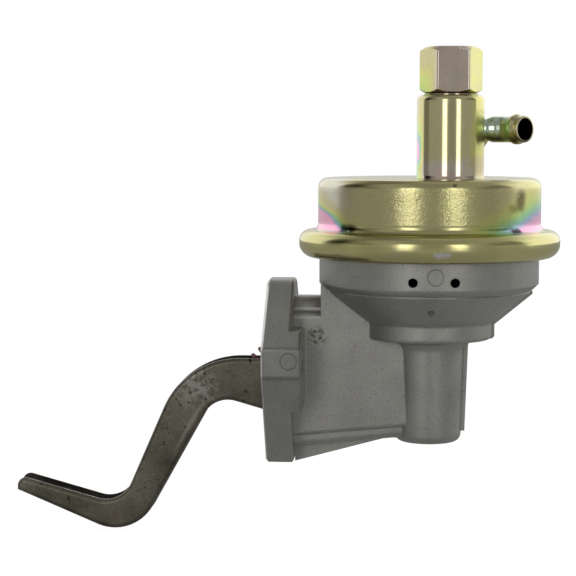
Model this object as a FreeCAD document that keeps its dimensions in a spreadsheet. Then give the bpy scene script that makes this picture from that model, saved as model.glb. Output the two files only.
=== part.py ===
import FreeCAD, Part
import math
import os
import types

import Sketcher

Vector = FreeCAD.Vector
Rotation = FreeCAD.Rotation
Placement = FreeCAD.Placement

# Mechanical fuel pump for a cam-driven engine, in millimetres.
# The origin is the middle of the two bolt holes on the flange's mating face. The engine is on the
# -X side of that face, the diaphragm's axis stands upright at pump_x, and +Z is up.
# The rocker arm turns about Y. It lifts at its outer end and pulls the diaphragm down by the link.

SIZES = {
    # Places of the main axes
    "pump_x": 61.0,
    "pivot_x": 9.0,
    "pivot_z": -13.0,
    # Mounting flange
    "tip_y": 36.0,
    "tip_half": 5.1,
    "flange_top": 28.5,
    "flange_bottom": -40.8,
    "flange_top_half": 7.0,
    "flange_low_half": 12.0,
    "flange_thick": 10.5,
    "ear_thick": 14.6,
    "ear_top": 10.8,
    "ear_bottom": -19.2,
    "flange_top_round": 10.0,
    "flange_low_round": 3.0,
    "rim_chamfer": 1.0,
    "cast_round": 1.5,
    "edge_round": 1.2,
    "bolt_y": 25.0,
    "bolt_hole": 5.2,
    # Arm chamber between the flange and the boss
    "chamber_half": 9.8,
    "chamber_side": 2.6,
    "chamber_floor": 3.0,
    "chamber_low": -31.9,
    "chamber_rise": 5.7,
    "chamber_top": 16.8,
    "chamber_round": 1.6,
    "chamber_roof": 3.0,
    "ledge_round": 3.0,
    "neck_half": 7.6,
    "neck_top": 22.0,
    "neck_round": 6.0,
    "belly_half": 8.2,
    "belly_low": -36.5,
    "belly_rise": 6.2,
    "belly_round": 2.5,
    "keel_half": 3.2,
    "keel_low": -41.5,
    "keel_rise": 9.4,
    # Bowl, collar and boss
    "boss_low": -33.4,
    "boss_low_r": 12.5,
    "boss_top_r": 13.7,
    "boss_round": 3.0,
    "boss_bore": 9.0,
    "boss_floor": 4.0,
    "ring_low": 6.0,
    "ring_r": 24.1,
    "ring_top": 12.4,
    "root_round": 4.5,
    "cone_inset": 3.2,
    "cone_top": 24.1,
    "notch_high": 0.7,
    "notch_deep": 0.4,
    "collar_inset": 0.5,
    "collar_chamfer": 2.5,
    "collar_low": 27.2,
    "rim_low": 38.2,
    "rim_thick": 3.8,
    "rim_gap": 1.7,
    "rim_round": 3.4,
    "bowl_wall": 3.5,
    "bowl_floor": 12.0,
    "cone_wall": 5.5,
    "breather_r": 1.7,
    "breather_z": 30.1,
    "breather_left": 5.7,
    "breather_right": 9.4,
    "seam_out": 1.5,
    "seam_wide": 2.6,
    "seam_thin": 0.9,
    # Marks that the casting tool left
    "mark_x": 10.2,
    "mark_z": 0.6,
    "mark_r": 3.1,
    "mark_wide": 0.3,
    "mark_deep": 0.2,
    "spot_x": 2.4,
    "spot_z": 32.0,
    "spot_r": 3.0,
    "spot_deep": 0.5,
    "nub_x": 0.9,
    "nub_z": 18.3,
    "nub_r": 1.0,
    "nub_high": 0.7,
    # Crimped cover
    "cover_r": 42.0,
    "cup_high": 19.6,
    "cover_sheet": 1.2,
    "cover_round": 3.4,
    "bead_out": 7.3,
    "bead_round": 4.0,
    "curl_round": 5.2,
    "foot_round": 1.0,
    # Clamped stack and diaphragm
    "cloth_thick": 1.2,
    "cloth_lift": 3.1,
    "cloth_flat_share": 0.69,
    "cloth_fold_share": 0.89,
    "cloth_fold_up": 1.6,
    "upper_plate_inset": 2.0,
    "lower_plate_inset": 1.0,
    "plate_sheet": 1.0,
    "plate_lip": 2.0,
    # Pull rod, seal and springs on the pump's axis
    "rod_r": 2.5,
    "rod_neck_r": 2.0,
    "rod_head_r": 4.5,
    "rod_head_thick": 2.7,
    "rod_rivet_r": 3.6,
    "rod_rivet_high": 1.1,
    "rod_washer_r": 5.5,
    "guide_gap": 0.1,
    "seal_r": 6.0,
    "seal_high": 3.6,
    "retainer_inset": 5.0,
    "retainer_sheet": 0.8,
    "pump_spring_inset": 3.0,
    "pump_spring_wire": 1.0,
    "pump_spring_turns": 5.0,
    # Valve body and its two valves
    "valve_rim": 2.2,
    "gasket_thick": 0.6,
    "gasket_inset": 1.4,
    "dish_gap": 2.3,
    "dish_wall": 2.5,
    "dish_high": 9.8,
    "dish_sheet": 2.5,
    "tower_wall": 2.3,
    "tower_gap": 0.7,
    "inlet_x": -18.0,
    "inlet_y": 6.0,
    "valve_r": 7.0,
    "seat_high": 2.5,
    "seat_hole": 4.2,
    "disc_r": 5.5,
    "disc_thick": 1.5,
    "disc_gap": 0.1,
    "cage_high": 5.5,
    "cage_sheet": 0.6,
    "cage_hole": 2.8,
    "cage_window": 3.6,
    "valve_spring_wire": 0.3,
    "valve_spring_turns": 2.5,
    # Fitting, nipple and inner tube
    "fitting_x": 7.8,
    "fitting_y": -3.5,
    "fitting_r": 12.6,
    "barrel_high": 31.05,
    "fitting_round": 2.0,
    "spigot_r": 10.4,
    "spigot_deep": 1.6,
    "fitting_bore": 9.3,
    "barrel_roof": 6.5,
    "neck_r": 10.0,
    "neck_high": 0.45,
    "hex_flats": 20.64,
    "hex_high": 17.45,
    "hex_face_r": 9.4,
    "hex_turn": 4.5,
    "port_r": 7.1,
    "port_deep": 14.0,
    "tube_r": 5.0,
    "tube_wall": 1.0,
    "nipple_drop": 12.75,
    "nipple_turn": 10.0,
    "nipple_bend": 55.0,
    "nipple_bend_r": 6.0,
    "nipple_neck": 4.2,
    "nipple_root_r": 3.9,
    "nipple_r": 4.9,
    "nipple_bore": 4.0,
    "nipple_root_bore": 2.9,
    "nipple_end": 8.0,
    "nipple_bead_r": 5.65,
    "nipple_bead_at": 3.9,
    "nipple_bead_half": 1.0,
    "braze_high": 4.2,
    "braze_out": 2.0,
    "braze_clear": 0.65,
    "braze_half": 1.6,
    # Rocker arm
    "arm_half": 6.5,
    "arm_sheet": 1.9,
    "arm_bend": 1.8,
    "arm_top": -2.0,
    "arm_rear": 22.5,
    "arm_root_low": -23.0,
    "arm_reach": 97.0,
    "arm_knee_share": 0.325,
    "arm_knee_round": 32.0,
    "arm_elbow_share": 0.5825,
    "arm_elbow_z": -59.4,
    "arm_elbow_round": 11.0,
    "tip_top": -48.2,
    "tip_low": -53.9,
    "tip_round": 3.2,
    "web_elbow_share": 0.534,
    "web_elbow_z": -72.9,
    "web_elbow_round": 17.0,
    "web_knee_share": 0.208,
    "web_knee_z": -16.2,
    "web_knee_round": 10.4,
    "web_root_x": 3.5,
    "web_root_round": 20.0,
    "web_back_share": 0.44,
    "web_up_share": 1.28,
    # Pivot
    "pin_r": 3.2,
    "pin_half": 15.0,
    "plug_long": 4.0,
    "running_gap": 0.05,
    "bush_r": 4.6,
    "washer_r": 6.2,
    "washer_thick": 0.5,
    # Link
    "link_half": 4.2,
    "link_sheet": 1.8,
    "link_thick": 2.6,
    "link_low": -12.5,
    "link_eye": 6.6,
    "link_fork_half": 6.5,
    "link_slot_half": 3.1,
    "link_neck_round": 6.0,
    "link_corner": 1.5,
    "link_reach": 3.0,
    # Return spring and its seat
    "return_x": -13.5,
    "return_z": -13.0,
    "return_tilt": 47.0,
    "return_long": 36.0,
    "return_r": 3.4,
    "return_wire": 0.8,
    "return_turns": 9.5,
    "seat_thick": 0.8,
    "seat_nub_r": 2.2,
    "seat_nub_high": 4.0,
    "spring_room": 0.9,
    # Gap between pieces that are pressed or seated together, and the one between moving pieces
    "fit_gap": 0.02,
    "free_gap": 0.3,
}

doc = FreeCAD.newDocument("FuelPump")


class Size:
    """A number from the sheet, or one worked out from such numbers, with the formula that gives it."""

    def __init__(self, value, formula):
        self.value = value
        self.formula = formula

    def __add__(self, other):
        other = as_size(other)
        return Size(self.value + other.value, f"({self.formula} + {other.formula})")

    def __sub__(self, other):
        other = as_size(other)
        return Size(self.value - other.value, f"({self.formula} - {other.formula})")

    def __mul__(self, other):
        other = as_size(other)
        return Size(self.value * other.value, f"({self.formula} * {other.formula})")

    def __truediv__(self, other):
        other = as_size(other)
        return Size(self.value / other.value, f"({self.formula} / {other.formula})")

    def __radd__(self, other):
        return as_size(other) + self

    def __rsub__(self, other):
        return as_size(other) - self

    def __rmul__(self, other):
        return as_size(other) * self

    def __neg__(self):
        return as_size(0) - self


def as_size(amount):
    """The amount as a Size; a bare number is its own formula."""
    if isinstance(amount, Size):
        return amount
    return Size(float(amount), f"({float(amount)!r})")


def number(amount):
    return as_size(amount).value


def fill_sheet():
    """Put the driving dimensions into the sheet, each under its own alias."""
    sheet = doc.addObject("Spreadsheet::Sheet", "Sizes")
    for row, (alias, value) in enumerate(SIZES.items(), start=1):
        sheet.set(f"A{row}", alias.replace("_", " "))
        sheet.set(f"B{row}", str(value))
        sheet.setAlias(f"B{row}", alias)
    doc.recompute()
    return types.SimpleNamespace(**{alias: Size(value, f"Sizes.{alias}") for alias, value in SIZES.items()})


s = fill_sheet()


# Sketches: every outline is a closed loop of corners (across, up) or (across, up, radius)

def bind(item, path, amount):
    """Tie a property of an object to the sheet."""
    item.setExpression(path, as_size(amount).formula)


def sketch_on(body, role, across=0, up=0, out=0, turn=None):
    """A sketch on one of the body's own origin planes, moved within that plane and along its normal."""
    sketch = body.newObject("Sketcher::SketchObject", f"{body.Label}_sketch")
    plane = next(item for item in body.Origin.OriginFeatures if item.Role == role)
    sketch.AttachmentSupport = [(plane, "")]
    sketch.MapMode = "FlatFace"
    if turn is not None:
        sketch.AttachmentOffset = Placement(Vector(), turn)
    for axis, amount in zip("xyz", (across, up, out)):
        if isinstance(amount, Size) or amount:
            bind(sketch, f"AttachmentOffset.Base.{axis}", amount)
    return sketch


def tie_point(sketch, geometry, position, across, up):
    """Fix a point of the sketch by its distances from the sketch's origin."""
    for kind, amount in (("DistanceX", across), ("DistanceY", up)):
        index = sketch.addConstraint(Sketcher.Constraint(kind, -1, 1, geometry, position, number(amount)))
        bind(sketch, f"Constraints[{index}]", amount)


def corner_tangents(before, corner, after, radius):
    """Where the arc of a rounded corner leaves its two sides, and the arc's middle point."""
    to_before = (before - corner).normalize()
    to_after = (after - corner).normalize()
    half = to_before.getAngle(to_after) / 2
    reach = radius / math.tan(half)
    middle = (to_before + to_after).normalize() * (radius / math.sin(half) - radius)
    return corner + to_before * reach, corner + middle, corner + to_after * reach


def draw_outline(sketch, corners):
    """Draw straight sides between the corners, with a tangent arc wherever a corner has a radius."""
    points = [Vector(number(corner[0]), number(corner[1]), 0) for corner in corners]
    radii = [corner[2] if len(corner) > 2 else None for corner in corners]
    count = len(points)
    arcs = [None] * count
    for i in range(count):
        if radii[i]:
            following = points[(i + 1) % count]
            arcs[i] = corner_tangents(points[i - 1], points[i], following, number(radii[i]))
    sides = []
    for i in range(count):
        start = arcs[i][2] if arcs[i] else points[i]
        following = arcs[(i + 1) % count]
        end = following[0] if following else points[(i + 1) % count]
        sides.append(sketch.addGeometry(Part.LineSegment(start, end), False))
    for i in range(count):
        if arcs[i] is None:
            sketch.addConstraint(Sketcher.Constraint("Coincident", sides[i - 1], 2, sides[i], 1))
            tie_point(sketch, sides[i], 1, corners[i][0], corners[i][1])
            continue
        arc = sketch.addGeometry(Part.Arc(*arcs[i]), False)
        to_start, to_end = ((sketch.getPoint(arc, end) - arcs[i][0]).Length for end in (1, 2))
        first, last = (1, 2) if to_start < to_end else (2, 1)
        sketch.addConstraint(Sketcher.Constraint("Tangent", sides[i - 1], 2, arc, first))
        sketch.addConstraint(Sketcher.Constraint("Tangent", sides[i], 1, arc, last))
        index = sketch.addConstraint(Sketcher.Constraint("Radius", arc, number(radii[i])))
        bind(sketch, f"Constraints[{index}]", radii[i])
        point = sketch.addGeometry(Part.Point(points[i]), True)
        sketch.addConstraint(Sketcher.Constraint("PointOnObject", point, 1, sides[i - 1]))
        sketch.addConstraint(Sketcher.Constraint("PointOnObject", point, 1, sides[i]))
        tie_point(sketch, point, 1, corners[i][0], corners[i][1])


def draw_circle(sketch, across, up, radius):
    circle = Part.Circle(Vector(number(across), number(up), 0), Vector(0, 0, 1), number(radius))
    index = sketch.addGeometry(circle, False)
    constraint = sketch.addConstraint(Sketcher.Constraint("Radius", index, number(radius)))
    bind(sketch, f"Constraints[{constraint}]", radius)
    tie_point(sketch, index, 3, across, up)


# Features

def new_body(label, x=0, y=0, z=0, turn=None):
    """An empty body with its label, which names its file, and its place in the pump."""
    body = doc.addObject("PartDesign::Body", label)
    body.Label = label
    if turn is not None:
        body.Placement = Placement(Vector(), turn)
    for axis, amount in zip("xyz", (x, y, z)):
        if isinstance(amount, Size) or amount:
            bind(body, f"Placement.Base.{axis}", amount)
    return body


def add_feature(body, kind, sketch):
    feature = body.newObject(f"PartDesign::{kind}", f"{body.Label}_{kind.lower()}")
    feature.Profile = sketch
    return feature


def straight(body, kind, sketch, length, both_ways=False, reverse=False):
    """A Pad or a Pocket of the sketch; a pocket runs against the sketch's normal unless reversed."""
    feature = add_feature(body, kind, sketch)
    feature.Midplane = both_ways
    feature.Reversed = reverse
    bind(feature, "Length", length)
    doc.recompute()
    return feature


def turned(body, kind, corners, across=0):
    """A Revolution or a Groove about an upright axis, from corners (radius, height)."""
    sketch = sketch_on(body, "XZ_Plane", across=across)
    draw_outline(sketch, corners)
    feature = add_feature(body, kind, sketch)
    feature.ReferenceAxis = (sketch, ["V_Axis"])
    feature.Angle = 360
    doc.recompute()
    return feature


def turned_piece(label, corners, x=0, y=0, z=0, turn=None):
    body = new_body(label, x, y, z, turn)
    turned(body, "Revolution", corners)
    return body


def ends(edge):
    return [vertex.Point for vertex in edge.Vertexes]


def near(a, b, slack=0.01):
    return abs(a - b) < slack


def edges_where(shape, test):
    """Names of the edges of a shape that pass a test on their end points."""
    return [f"Edge{i}" for i, edge in enumerate(shape.Edges, start=1) if test(edge)]


def dress(body, kind, test, amount):
    """A Fillet or a Chamfer on every edge of the body that passes the test."""
    doc.recompute()
    base = body.Tip
    feature = body.newObject(f"PartDesign::{kind}", f"{body.Label}_{kind.lower()}")
    feature.Base = (base, edges_where(base.Shape, test))
    bind(feature, "Radius" if kind == "Fillet" else "Size", amount)
    doc.recompute()
    return feature


def coil(label, mean_r, wire_r, length, turns, x=0, y=0, z=0, turn=None):
    """A compression spring: a round wire carried along a helix about the body's upright axis."""
    body = new_body(label, x, y, z, turn)
    sketch = sketch_on(body, "XZ_Plane")
    draw_circle(sketch, mean_r, wire_r, wire_r)
    helix = add_feature(body, "AdditiveHelix", sketch)
    helix.ReferenceAxis = (sketch, ["V_Axis"])
    helix.Mode = "pitch-height-angle"
    bind(helix, "Pitch", (length - wire_r * 2) / turns)
    bind(helix, "Height", length - wire_r * 2)
    doc.recompute()
    return body


# Heights and radii that several pieces share

clamp_low = s.rim_low + s.rim_thick
clamp_top = clamp_low + s.cloth_thick
cloth_low = clamp_low + s.cloth_lift
cloth_top = cloth_low + s.cloth_thick
valve_rim_top = clamp_top + s.valve_rim
shoulder_top = valve_rim_top + s.gasket_thick + s.cover_sheet
cover_top = shoulder_top + s.cup_high
dish_deck = clamp_top + s.dish_high
tower_high = s.seat_high + s.cage_high
outlet_tower_high = cover_top - s.spigot_deep - s.tower_gap - dish_deck
fitting_at_x = s.pump_x + s.fitting_x
inlet_at_x = s.pump_x + s.inlet_x
fitting_top = cover_top + s.barrel_high
fitting_bore_top = fitting_top - s.barrel_roof
nipple_z = fitting_top - s.nipple_drop
hex_low = fitting_top + s.neck_high
hex_top = hex_low + s.hex_high
bead_r = s.cover_r + s.bead_out
rim_r = bead_r - s.cover_sheet - s.rim_gap
collar_r = s.cover_r - s.collar_inset
cone_r = collar_r - s.cone_inset
bowl_r = collar_r - s.bowl_wall
dish_outer = s.cover_r - s.cover_sheet - s.dish_gap
clamp_r = dish_outer - s.dish_wall - s.cloth_thick
cloth_flat_r = clamp_r * s.cloth_flat_share
cloth_fold_r = clamp_r * s.cloth_fold_share
lower_plate_r = cloth_flat_r - s.lower_plate_inset
cone_slope = (s.cone_top - s.ring_top) / (cone_r - s.ring_r)
bowl_floor_r = s.ring_r - s.cone_wall - (s.ring_top - s.bowl_floor) / cone_slope
pump_spring_r = bowl_floor_r - s.pump_spring_wire - s.pump_spring_inset


def chamber_bottom(x):
    """Height of the chamber's sloping underside at a distance from the mating face."""
    return s.chamber_low + s.chamber_rise * x / s.pump_x


def belly_bottom(x):
    """Height of the underside of the narrower belly that hangs below the chamber."""
    return s.belly_low + s.belly_rise * x / s.pump_x


def flange_half_above(z):
    """Half width of the flange's diamond at a height above its tips."""
    run = s.tip_y - s.flange_top_half
    return s.tip_y - (z - s.tip_half) * run / (s.flange_top - s.tip_half)


def flange_half_below(z):
    """Half width of the flange's diamond at a height below its tips."""
    run = s.tip_y - s.flange_low_half
    return s.tip_y - (z + s.tip_half) * run / (s.flange_bottom + s.tip_half)


# Lower body: a die casting of bowl, boss, arm chamber and flange

def bowl_outline():
    return [
        (0, s.boss_low),
        (s.boss_low_r, s.boss_low, s.boss_round),
        (s.boss_top_r, s.ring_low, s.root_round),
        (s.ring_r, s.ring_low, s.cast_round),
        (s.ring_r, s.ring_top, s.edge_round),
        (cone_r, s.cone_top),
        (cone_r - s.notch_deep, s.cone_top),
        (cone_r - s.notch_deep, s.cone_top + s.notch_high),
        (collar_r - s.collar_chamfer, s.cone_top + s.notch_high),
        (collar_r, s.collar_low),
        (collar_r, s.rim_low),
        (rim_r, s.rim_low, s.rim_round),
        (rim_r, clamp_low),
        (0, clamp_low),
    ]


def bowl_cavity():
    knee = s.cone_top + (bowl_r - cone_r + s.cone_wall) * cone_slope
    return [
        (0, s.bowl_floor),
        (bowl_floor_r, s.bowl_floor),
        (bowl_r, knee),
        (bowl_r, clamp_low + 1),
        (0, clamp_low + 1),
    ]


def flange_outline():
    return [
        (s.tip_y, s.tip_half, s.cast_round),
        (s.flange_top_half, s.flange_top, s.flange_top_round),
        (-s.flange_top_half, s.flange_top, s.flange_top_round),
        (-s.tip_y, s.tip_half, s.cast_round),
        (-s.tip_y, -s.tip_half, s.cast_round),
        (-s.flange_low_half, s.flange_bottom, s.flange_low_round),
        (s.flange_low_half, s.flange_bottom, s.flange_low_round),
        (s.tip_y, -s.tip_half, s.cast_round),
    ]


def ear_outline():
    upper = flange_half_above(s.ear_top)
    lower = flange_half_below(s.ear_bottom)
    return [
        (s.tip_y, s.tip_half, s.cast_round),
        (upper, s.ear_top),
        (-upper, s.ear_top),
        (-s.tip_y, s.tip_half, s.cast_round),
        (-s.tip_y, -s.tip_half, s.cast_round),
        (-lower, s.ear_bottom),
        (lower, s.ear_bottom),
        (s.tip_y, -s.tip_half, s.cast_round),
    ]


def spring_tunnel():
    """The sloping hole above the arm that takes the return spring, square to the spring at its end."""
    tilt = math.radians(SIZES["return_tilt"])
    along = (math.sin(tilt), math.cos(tilt))
    half = s.return_r + s.return_wire + s.spring_room
    reach = s.return_long + s.free_gap
    end_x = s.return_x + reach * along[0]
    end_z = s.return_z + reach * along[1]
    start_z = s.return_z - s.return_x * (along[1] / along[0])
    step = half * (1 / along[0])
    return [
        (-1.0, start_z - step - along[1] / along[0]),
        (-1.0, start_z + step - along[1] / along[0]),
        (end_x - half * along[1], end_z + half * along[0]),
        (end_x + half * along[1], end_z - half * along[0]),
    ]


def sloping_block(body, half, bottom, rounding, top, top_round):
    """A block from inside the flange to the pump's axis, its edges rounded along its length."""
    sections = []
    for x in (s.flange_thick / 2, s.pump_x):
        section = sketch_on(body, "YZ_Plane", out=x)
        draw_outline(section, [
            (-half, bottom(x), rounding),
            (half, bottom(x), rounding),
            (half, top, top_round),
            (-half, top, top_round),
        ])
        sections.append(section)
    block = add_feature(body, "AdditiveLoft", sections[0])
    block.Sections = sections[1:]
    block.Ruled = True
    doc.recompute()


def is_flange_back_edge(edge):
    """The flange's outer edges on the side away from the engine."""
    return all(near(point.x, SIZES["flange_thick"]) for point in ends(edge))


def is_ear_back_edge(edge):
    """The outer edges of the thicker ears on the side away from the engine."""
    return all(near(point.x, SIZES["ear_thick"]) for point in ends(edge))


def casting_marks(body):
    """The ring on the flange's tip, the flat spot between the breathers and the nub on the cone."""
    ring = sketch_on(body, "XZ_Plane", out=s.tip_y)
    draw_circle(ring, s.mark_x, s.mark_z, s.mark_r)
    draw_circle(ring, s.mark_x, s.mark_z, s.mark_r - s.mark_wide)
    straight(body, "Pocket", ring, s.mark_deep)
    spot = sketch_on(body, "XZ_Plane", across=s.pump_x, out=collar_r)
    draw_circle(spot, s.spot_x, s.spot_z, s.spot_r)
    straight(body, "Pocket", spot, s.spot_deep)
    cone_at_nub = s.ring_r + (s.nub_z - s.ring_top) / cone_slope
    nub = sketch_on(body, "XZ_Plane", across=s.pump_x, out=cone_at_nub + s.nub_high)
    draw_circle(nub, s.nub_x, s.nub_z, s.nub_r)
    straight(body, "Pad", nub, s.cone_wall / 2, reverse=True)


def lower_body():
    body = new_body("lower_body")
    turned(body, "Revolution", bowl_outline(), across=s.pump_x)

    flange = sketch_on(body, "YZ_Plane")
    draw_outline(flange, flange_outline())
    straight(body, "Pad", flange, s.flange_thick)
    dress(body, "Fillet", is_flange_back_edge, s.edge_round)

    ears = sketch_on(body, "YZ_Plane")
    draw_outline(ears, ear_outline())
    straight(body, "Pad", ears, s.ear_thick)
    dress(body, "Fillet", is_ear_back_edge, s.edge_round)

    sloping_block(body, s.chamber_half, chamber_bottom, s.chamber_round, s.chamber_top, s.ledge_round)
    sloping_block(body, s.belly_half, belly_bottom, s.belly_round, s.ring_low, s.belly_round)

    shoulder = sketch_on(body, "XZ_Plane")
    draw_outline(shoulder, [
        (s.pump_x - collar_r + 1.0, s.chamber_top - 5),
        (s.pump_x, s.chamber_top - 5),
        (s.pump_x, s.collar_low),
        (s.pump_x - collar_r + 1.0, s.collar_low),
    ])
    straight(body, "Pad", shoulder, s.chamber_half * 2, both_ways=True)

    neck = sketch_on(body, "YZ_Plane", out=s.flange_thick)
    draw_outline(neck, [
        (-s.neck_half, s.ear_bottom),
        (s.neck_half, s.ear_bottom),
        (s.neck_half, s.neck_top, s.neck_round),
        (-s.neck_half, s.neck_top, s.neck_round),
    ])
    straight(body, "Pad", neck, s.pump_x - collar_r)

    keel = sketch_on(body, "XZ_Plane")
    draw_outline(keel, [
        (s.flange_thick, s.keel_low),
        (s.pump_x - s.boss_low_r - s.keel_half, s.keel_low + s.keel_rise),
        (s.pump_x, s.keel_low + s.keel_rise),
        (s.pump_x, s.ring_low),
        (s.flange_thick, s.ring_low),
    ])
    straight(body, "Pad", keel, s.keel_half * 2, both_ways=True)

    seam = sketch_on(body, "XZ_Plane", across=s.pump_x)
    draw_outline(seam, [
        (0, s.boss_low + s.boss_round + 1),
        (s.boss_low_r + s.seam_out, s.boss_low + s.boss_round + 1),
        (s.boss_top_r + s.seam_out, s.ring_low, s.boss_round),
        (s.ring_r + s.seam_thin, s.ring_low, s.cast_round),
        (s.ring_r + s.seam_thin, s.ring_top - s.seam_thin),
        (cone_r + s.seam_thin, s.cone_top - s.seam_thin),
        (cone_r + s.seam_thin, s.cone_top),
        (0, s.cone_top),
    ])
    straight(body, "Pad", seam, s.seam_wide, both_ways=True)

    turned(body, "Groove", bowl_cavity(), across=s.pump_x)
    turned(body, "Groove", [
        (0, s.boss_low + s.boss_floor),
        (s.boss_bore, s.boss_low + s.boss_floor, s.boss_round),
        (s.boss_bore, s.ring_low - s.fit_gap),
        (0, s.ring_low - s.fit_gap),
    ], across=s.pump_x)
    turned(body, "Groove", [
        (0, s.ring_low - 1),
        (s.rod_r + s.guide_gap, s.ring_low - 1),
        (s.rod_r + s.guide_gap, s.bowl_floor - s.seal_high),
        (s.seal_r + s.fit_gap, s.bowl_floor - s.seal_high),
        (s.seal_r + s.fit_gap, s.bowl_floor + 1),
        (0, s.bowl_floor + 1),
    ], across=s.pump_x)

    room = sketch_on(body, "XZ_Plane")
    draw_outline(room, [
        (-1.0, chamber_bottom(0) + s.chamber_floor),
        (s.pump_x, chamber_bottom(s.pump_x) + s.chamber_floor),
        (s.pump_x, s.chamber_roof),
        (-1.0, s.chamber_roof),
    ])
    straight(body, "Pocket", room, (s.chamber_half - s.chamber_side) * 2, both_ways=True)

    tunnel = sketch_on(body, "XZ_Plane")
    draw_outline(tunnel, spring_tunnel())
    straight(body, "Pocket", tunnel, (s.return_r + s.return_wire + s.spring_room) * 2, both_ways=True)

    bolts = sketch_on(body, "YZ_Plane")
    draw_circle(bolts, s.bolt_y, 0, s.bolt_hole)
    draw_circle(bolts, -s.bolt_y, 0, s.bolt_hole)
    straight(body, "Pocket", bolts, (s.ear_thick + 1) * 2, both_ways=True)

    bore = sketch_on(body, "XZ_Plane")
    draw_circle(bore, s.pivot_x, s.pivot_z, s.pin_r + s.fit_gap)
    straight(body, "Pocket", bore, (s.pin_half + s.fit_gap) * 2, both_ways=True)
    way_in = sketch_on(body, "XZ_Plane")
    draw_circle(way_in, s.pivot_x, s.pivot_z, s.pin_r + s.fit_gap)
    straight(body, "Pocket", way_in, s.tip_y)

    holes = sketch_on(body, "XZ_Plane", across=s.pump_x)
    draw_circle(holes, -s.breather_left, s.breather_z, s.breather_r)
    draw_circle(holes, s.breather_right, s.breather_z, s.breather_r)
    straight(body, "Pocket", holes, collar_r + 1, reverse=True)

    dress(body, "Chamfer", is_mating_rim, s.rim_chamfer)
    casting_marks(body)
    return body


def is_mating_rim(edge):
    """The edges of the mating face that lie outside its bolt holes and its mouth."""
    middle = edge.valueAt((edge.FirstParameter + edge.LastParameter) / 2)
    if not near(middle.x, 0):
        return False
    if abs(middle.z) < SIZES["tip_half"]:
        return abs(middle.y) > SIZES["bolt_y"] + SIZES["bolt_hole"] + 1
    half = flange_half_above(middle.z) if middle.z > 0 else flange_half_below(middle.z)
    at_end = middle.z > SIZES["flange_top"] - 2 or middle.z < SIZES["flange_bottom"] + 2
    return at_end or near(abs(middle.y), number(half), 1.5)


# Cover, diaphragm and the pieces on the pump's axis

def top_cover():
    """A stamped cup whose foot is rolled over the clamped rims as a bead, with a hole for the fitting."""
    sheet = s.cover_sheet
    inner_edge = collar_r + s.fit_gap
    body = turned_piece("top_cover", [
        (0, cover_top),
        (s.cover_r, cover_top, s.cover_round),
        (s.cover_r, shoulder_top, s.foot_round),
        (bead_r, shoulder_top, s.bead_round),
        (bead_r, s.rim_low - sheet, s.curl_round),
        (inner_edge, s.rim_low - sheet),
        (inner_edge, s.rim_low),
        (bead_r - sheet, s.rim_low, s.curl_round - sheet),
        (bead_r - sheet, shoulder_top - sheet, s.bead_round - sheet),
        (s.cover_r - sheet, shoulder_top - sheet),
        (s.cover_r - sheet, cover_top - sheet, s.cover_round - sheet),
        (0, cover_top - sheet),
    ], x=s.pump_x)
    hole = sketch_on(body, "XY_Plane", out=cover_top - s.cover_round)
    draw_circle(hole, s.fitting_x, s.fitting_y, s.spigot_r + s.fit_gap)
    straight(body, "Pocket", hole, s.cover_round + 1, reverse=True)
    return body


def diaphragm():
    """A fabric-backed rubber disc, clamped at its rim, with one fold between the rim and the plates."""
    hole = s.rod_neck_r + s.fit_gap
    return turned_piece("diaphragm", [
        (hole, cloth_low),
        (cloth_flat_r, cloth_low, 1.0),
        (cloth_fold_r, cloth_low + s.cloth_fold_up, 2.0),
        (clamp_r - 0.4, clamp_low, 1.0),
        (rim_r, clamp_low),
        (rim_r, clamp_top),
        (clamp_r, clamp_top, 1.0),
        (cloth_fold_r, cloth_top + s.cloth_fold_up, 3.0),
        (cloth_flat_r - 0.4, cloth_top, 1.0),
        (hole, cloth_top),
    ], x=s.pump_x)


def diaphragm_plates():
    hole = s.rod_neck_r + s.fit_gap
    sheet = s.plate_sheet
    upper_r = cloth_flat_r - s.upper_plate_inset
    upper = turned_piece("diaphragm_upper_plate", [
        (hole, cloth_top),
        (upper_r - sheet, cloth_top),
        (upper_r, cloth_top + sheet),
        (upper_r, cloth_top + sheet * 2),
        (upper_r - sheet, cloth_top + sheet * 2),
        (upper_r - sheet, cloth_top + sheet),
        (hole, cloth_top + sheet),
    ], x=s.pump_x)
    lip_r = pump_spring_r + s.pump_spring_wire + s.free_gap
    lower = turned_piece("diaphragm_lower_plate", [
        (hole, cloth_low - sheet),
        (lip_r, cloth_low - sheet),
        (lip_r, cloth_low - sheet - s.plate_lip),
        (lip_r + sheet, cloth_low - sheet - s.plate_lip),
        (lip_r + sheet, cloth_low - sheet),
        (lower_plate_r, cloth_low - sheet),
        (lower_plate_r, cloth_low),
        (hole, cloth_low),
    ], x=s.pump_x)
    return [upper, lower]


def pull_rod():
    """The rod with the link's button at its foot and its top riveted over the washer."""
    shoulder = cloth_low - s.plate_sheet
    rivet_low = cloth_top + s.plate_sheet * 2
    head_top = s.link_low - s.free_gap
    return turned_piece("pull_rod", [
        (0, head_top - s.rod_head_thick),
        (s.rod_head_r, head_top - s.rod_head_thick, 0.8),
        (s.rod_head_r, head_top),
        (s.rod_r, head_top),
        (s.rod_r, shoulder),
        (s.rod_neck_r, shoulder),
        (s.rod_neck_r, rivet_low),
        (s.rod_rivet_r, rivet_low),
        (s.rod_rivet_r, rivet_low + s.rod_rivet_high, 0.8),
        (0, rivet_low + s.rod_rivet_high),
    ], x=s.pump_x)


def rod_washer():
    low = cloth_top + s.plate_sheet
    return turned_piece("rod_washer", [
        (s.rod_neck_r + s.fit_gap, low),
        (s.rod_washer_r, low),
        (s.rod_washer_r, low + s.plate_sheet),
        (s.rod_neck_r + s.fit_gap, low + s.plate_sheet),
    ], x=s.pump_x)


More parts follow.
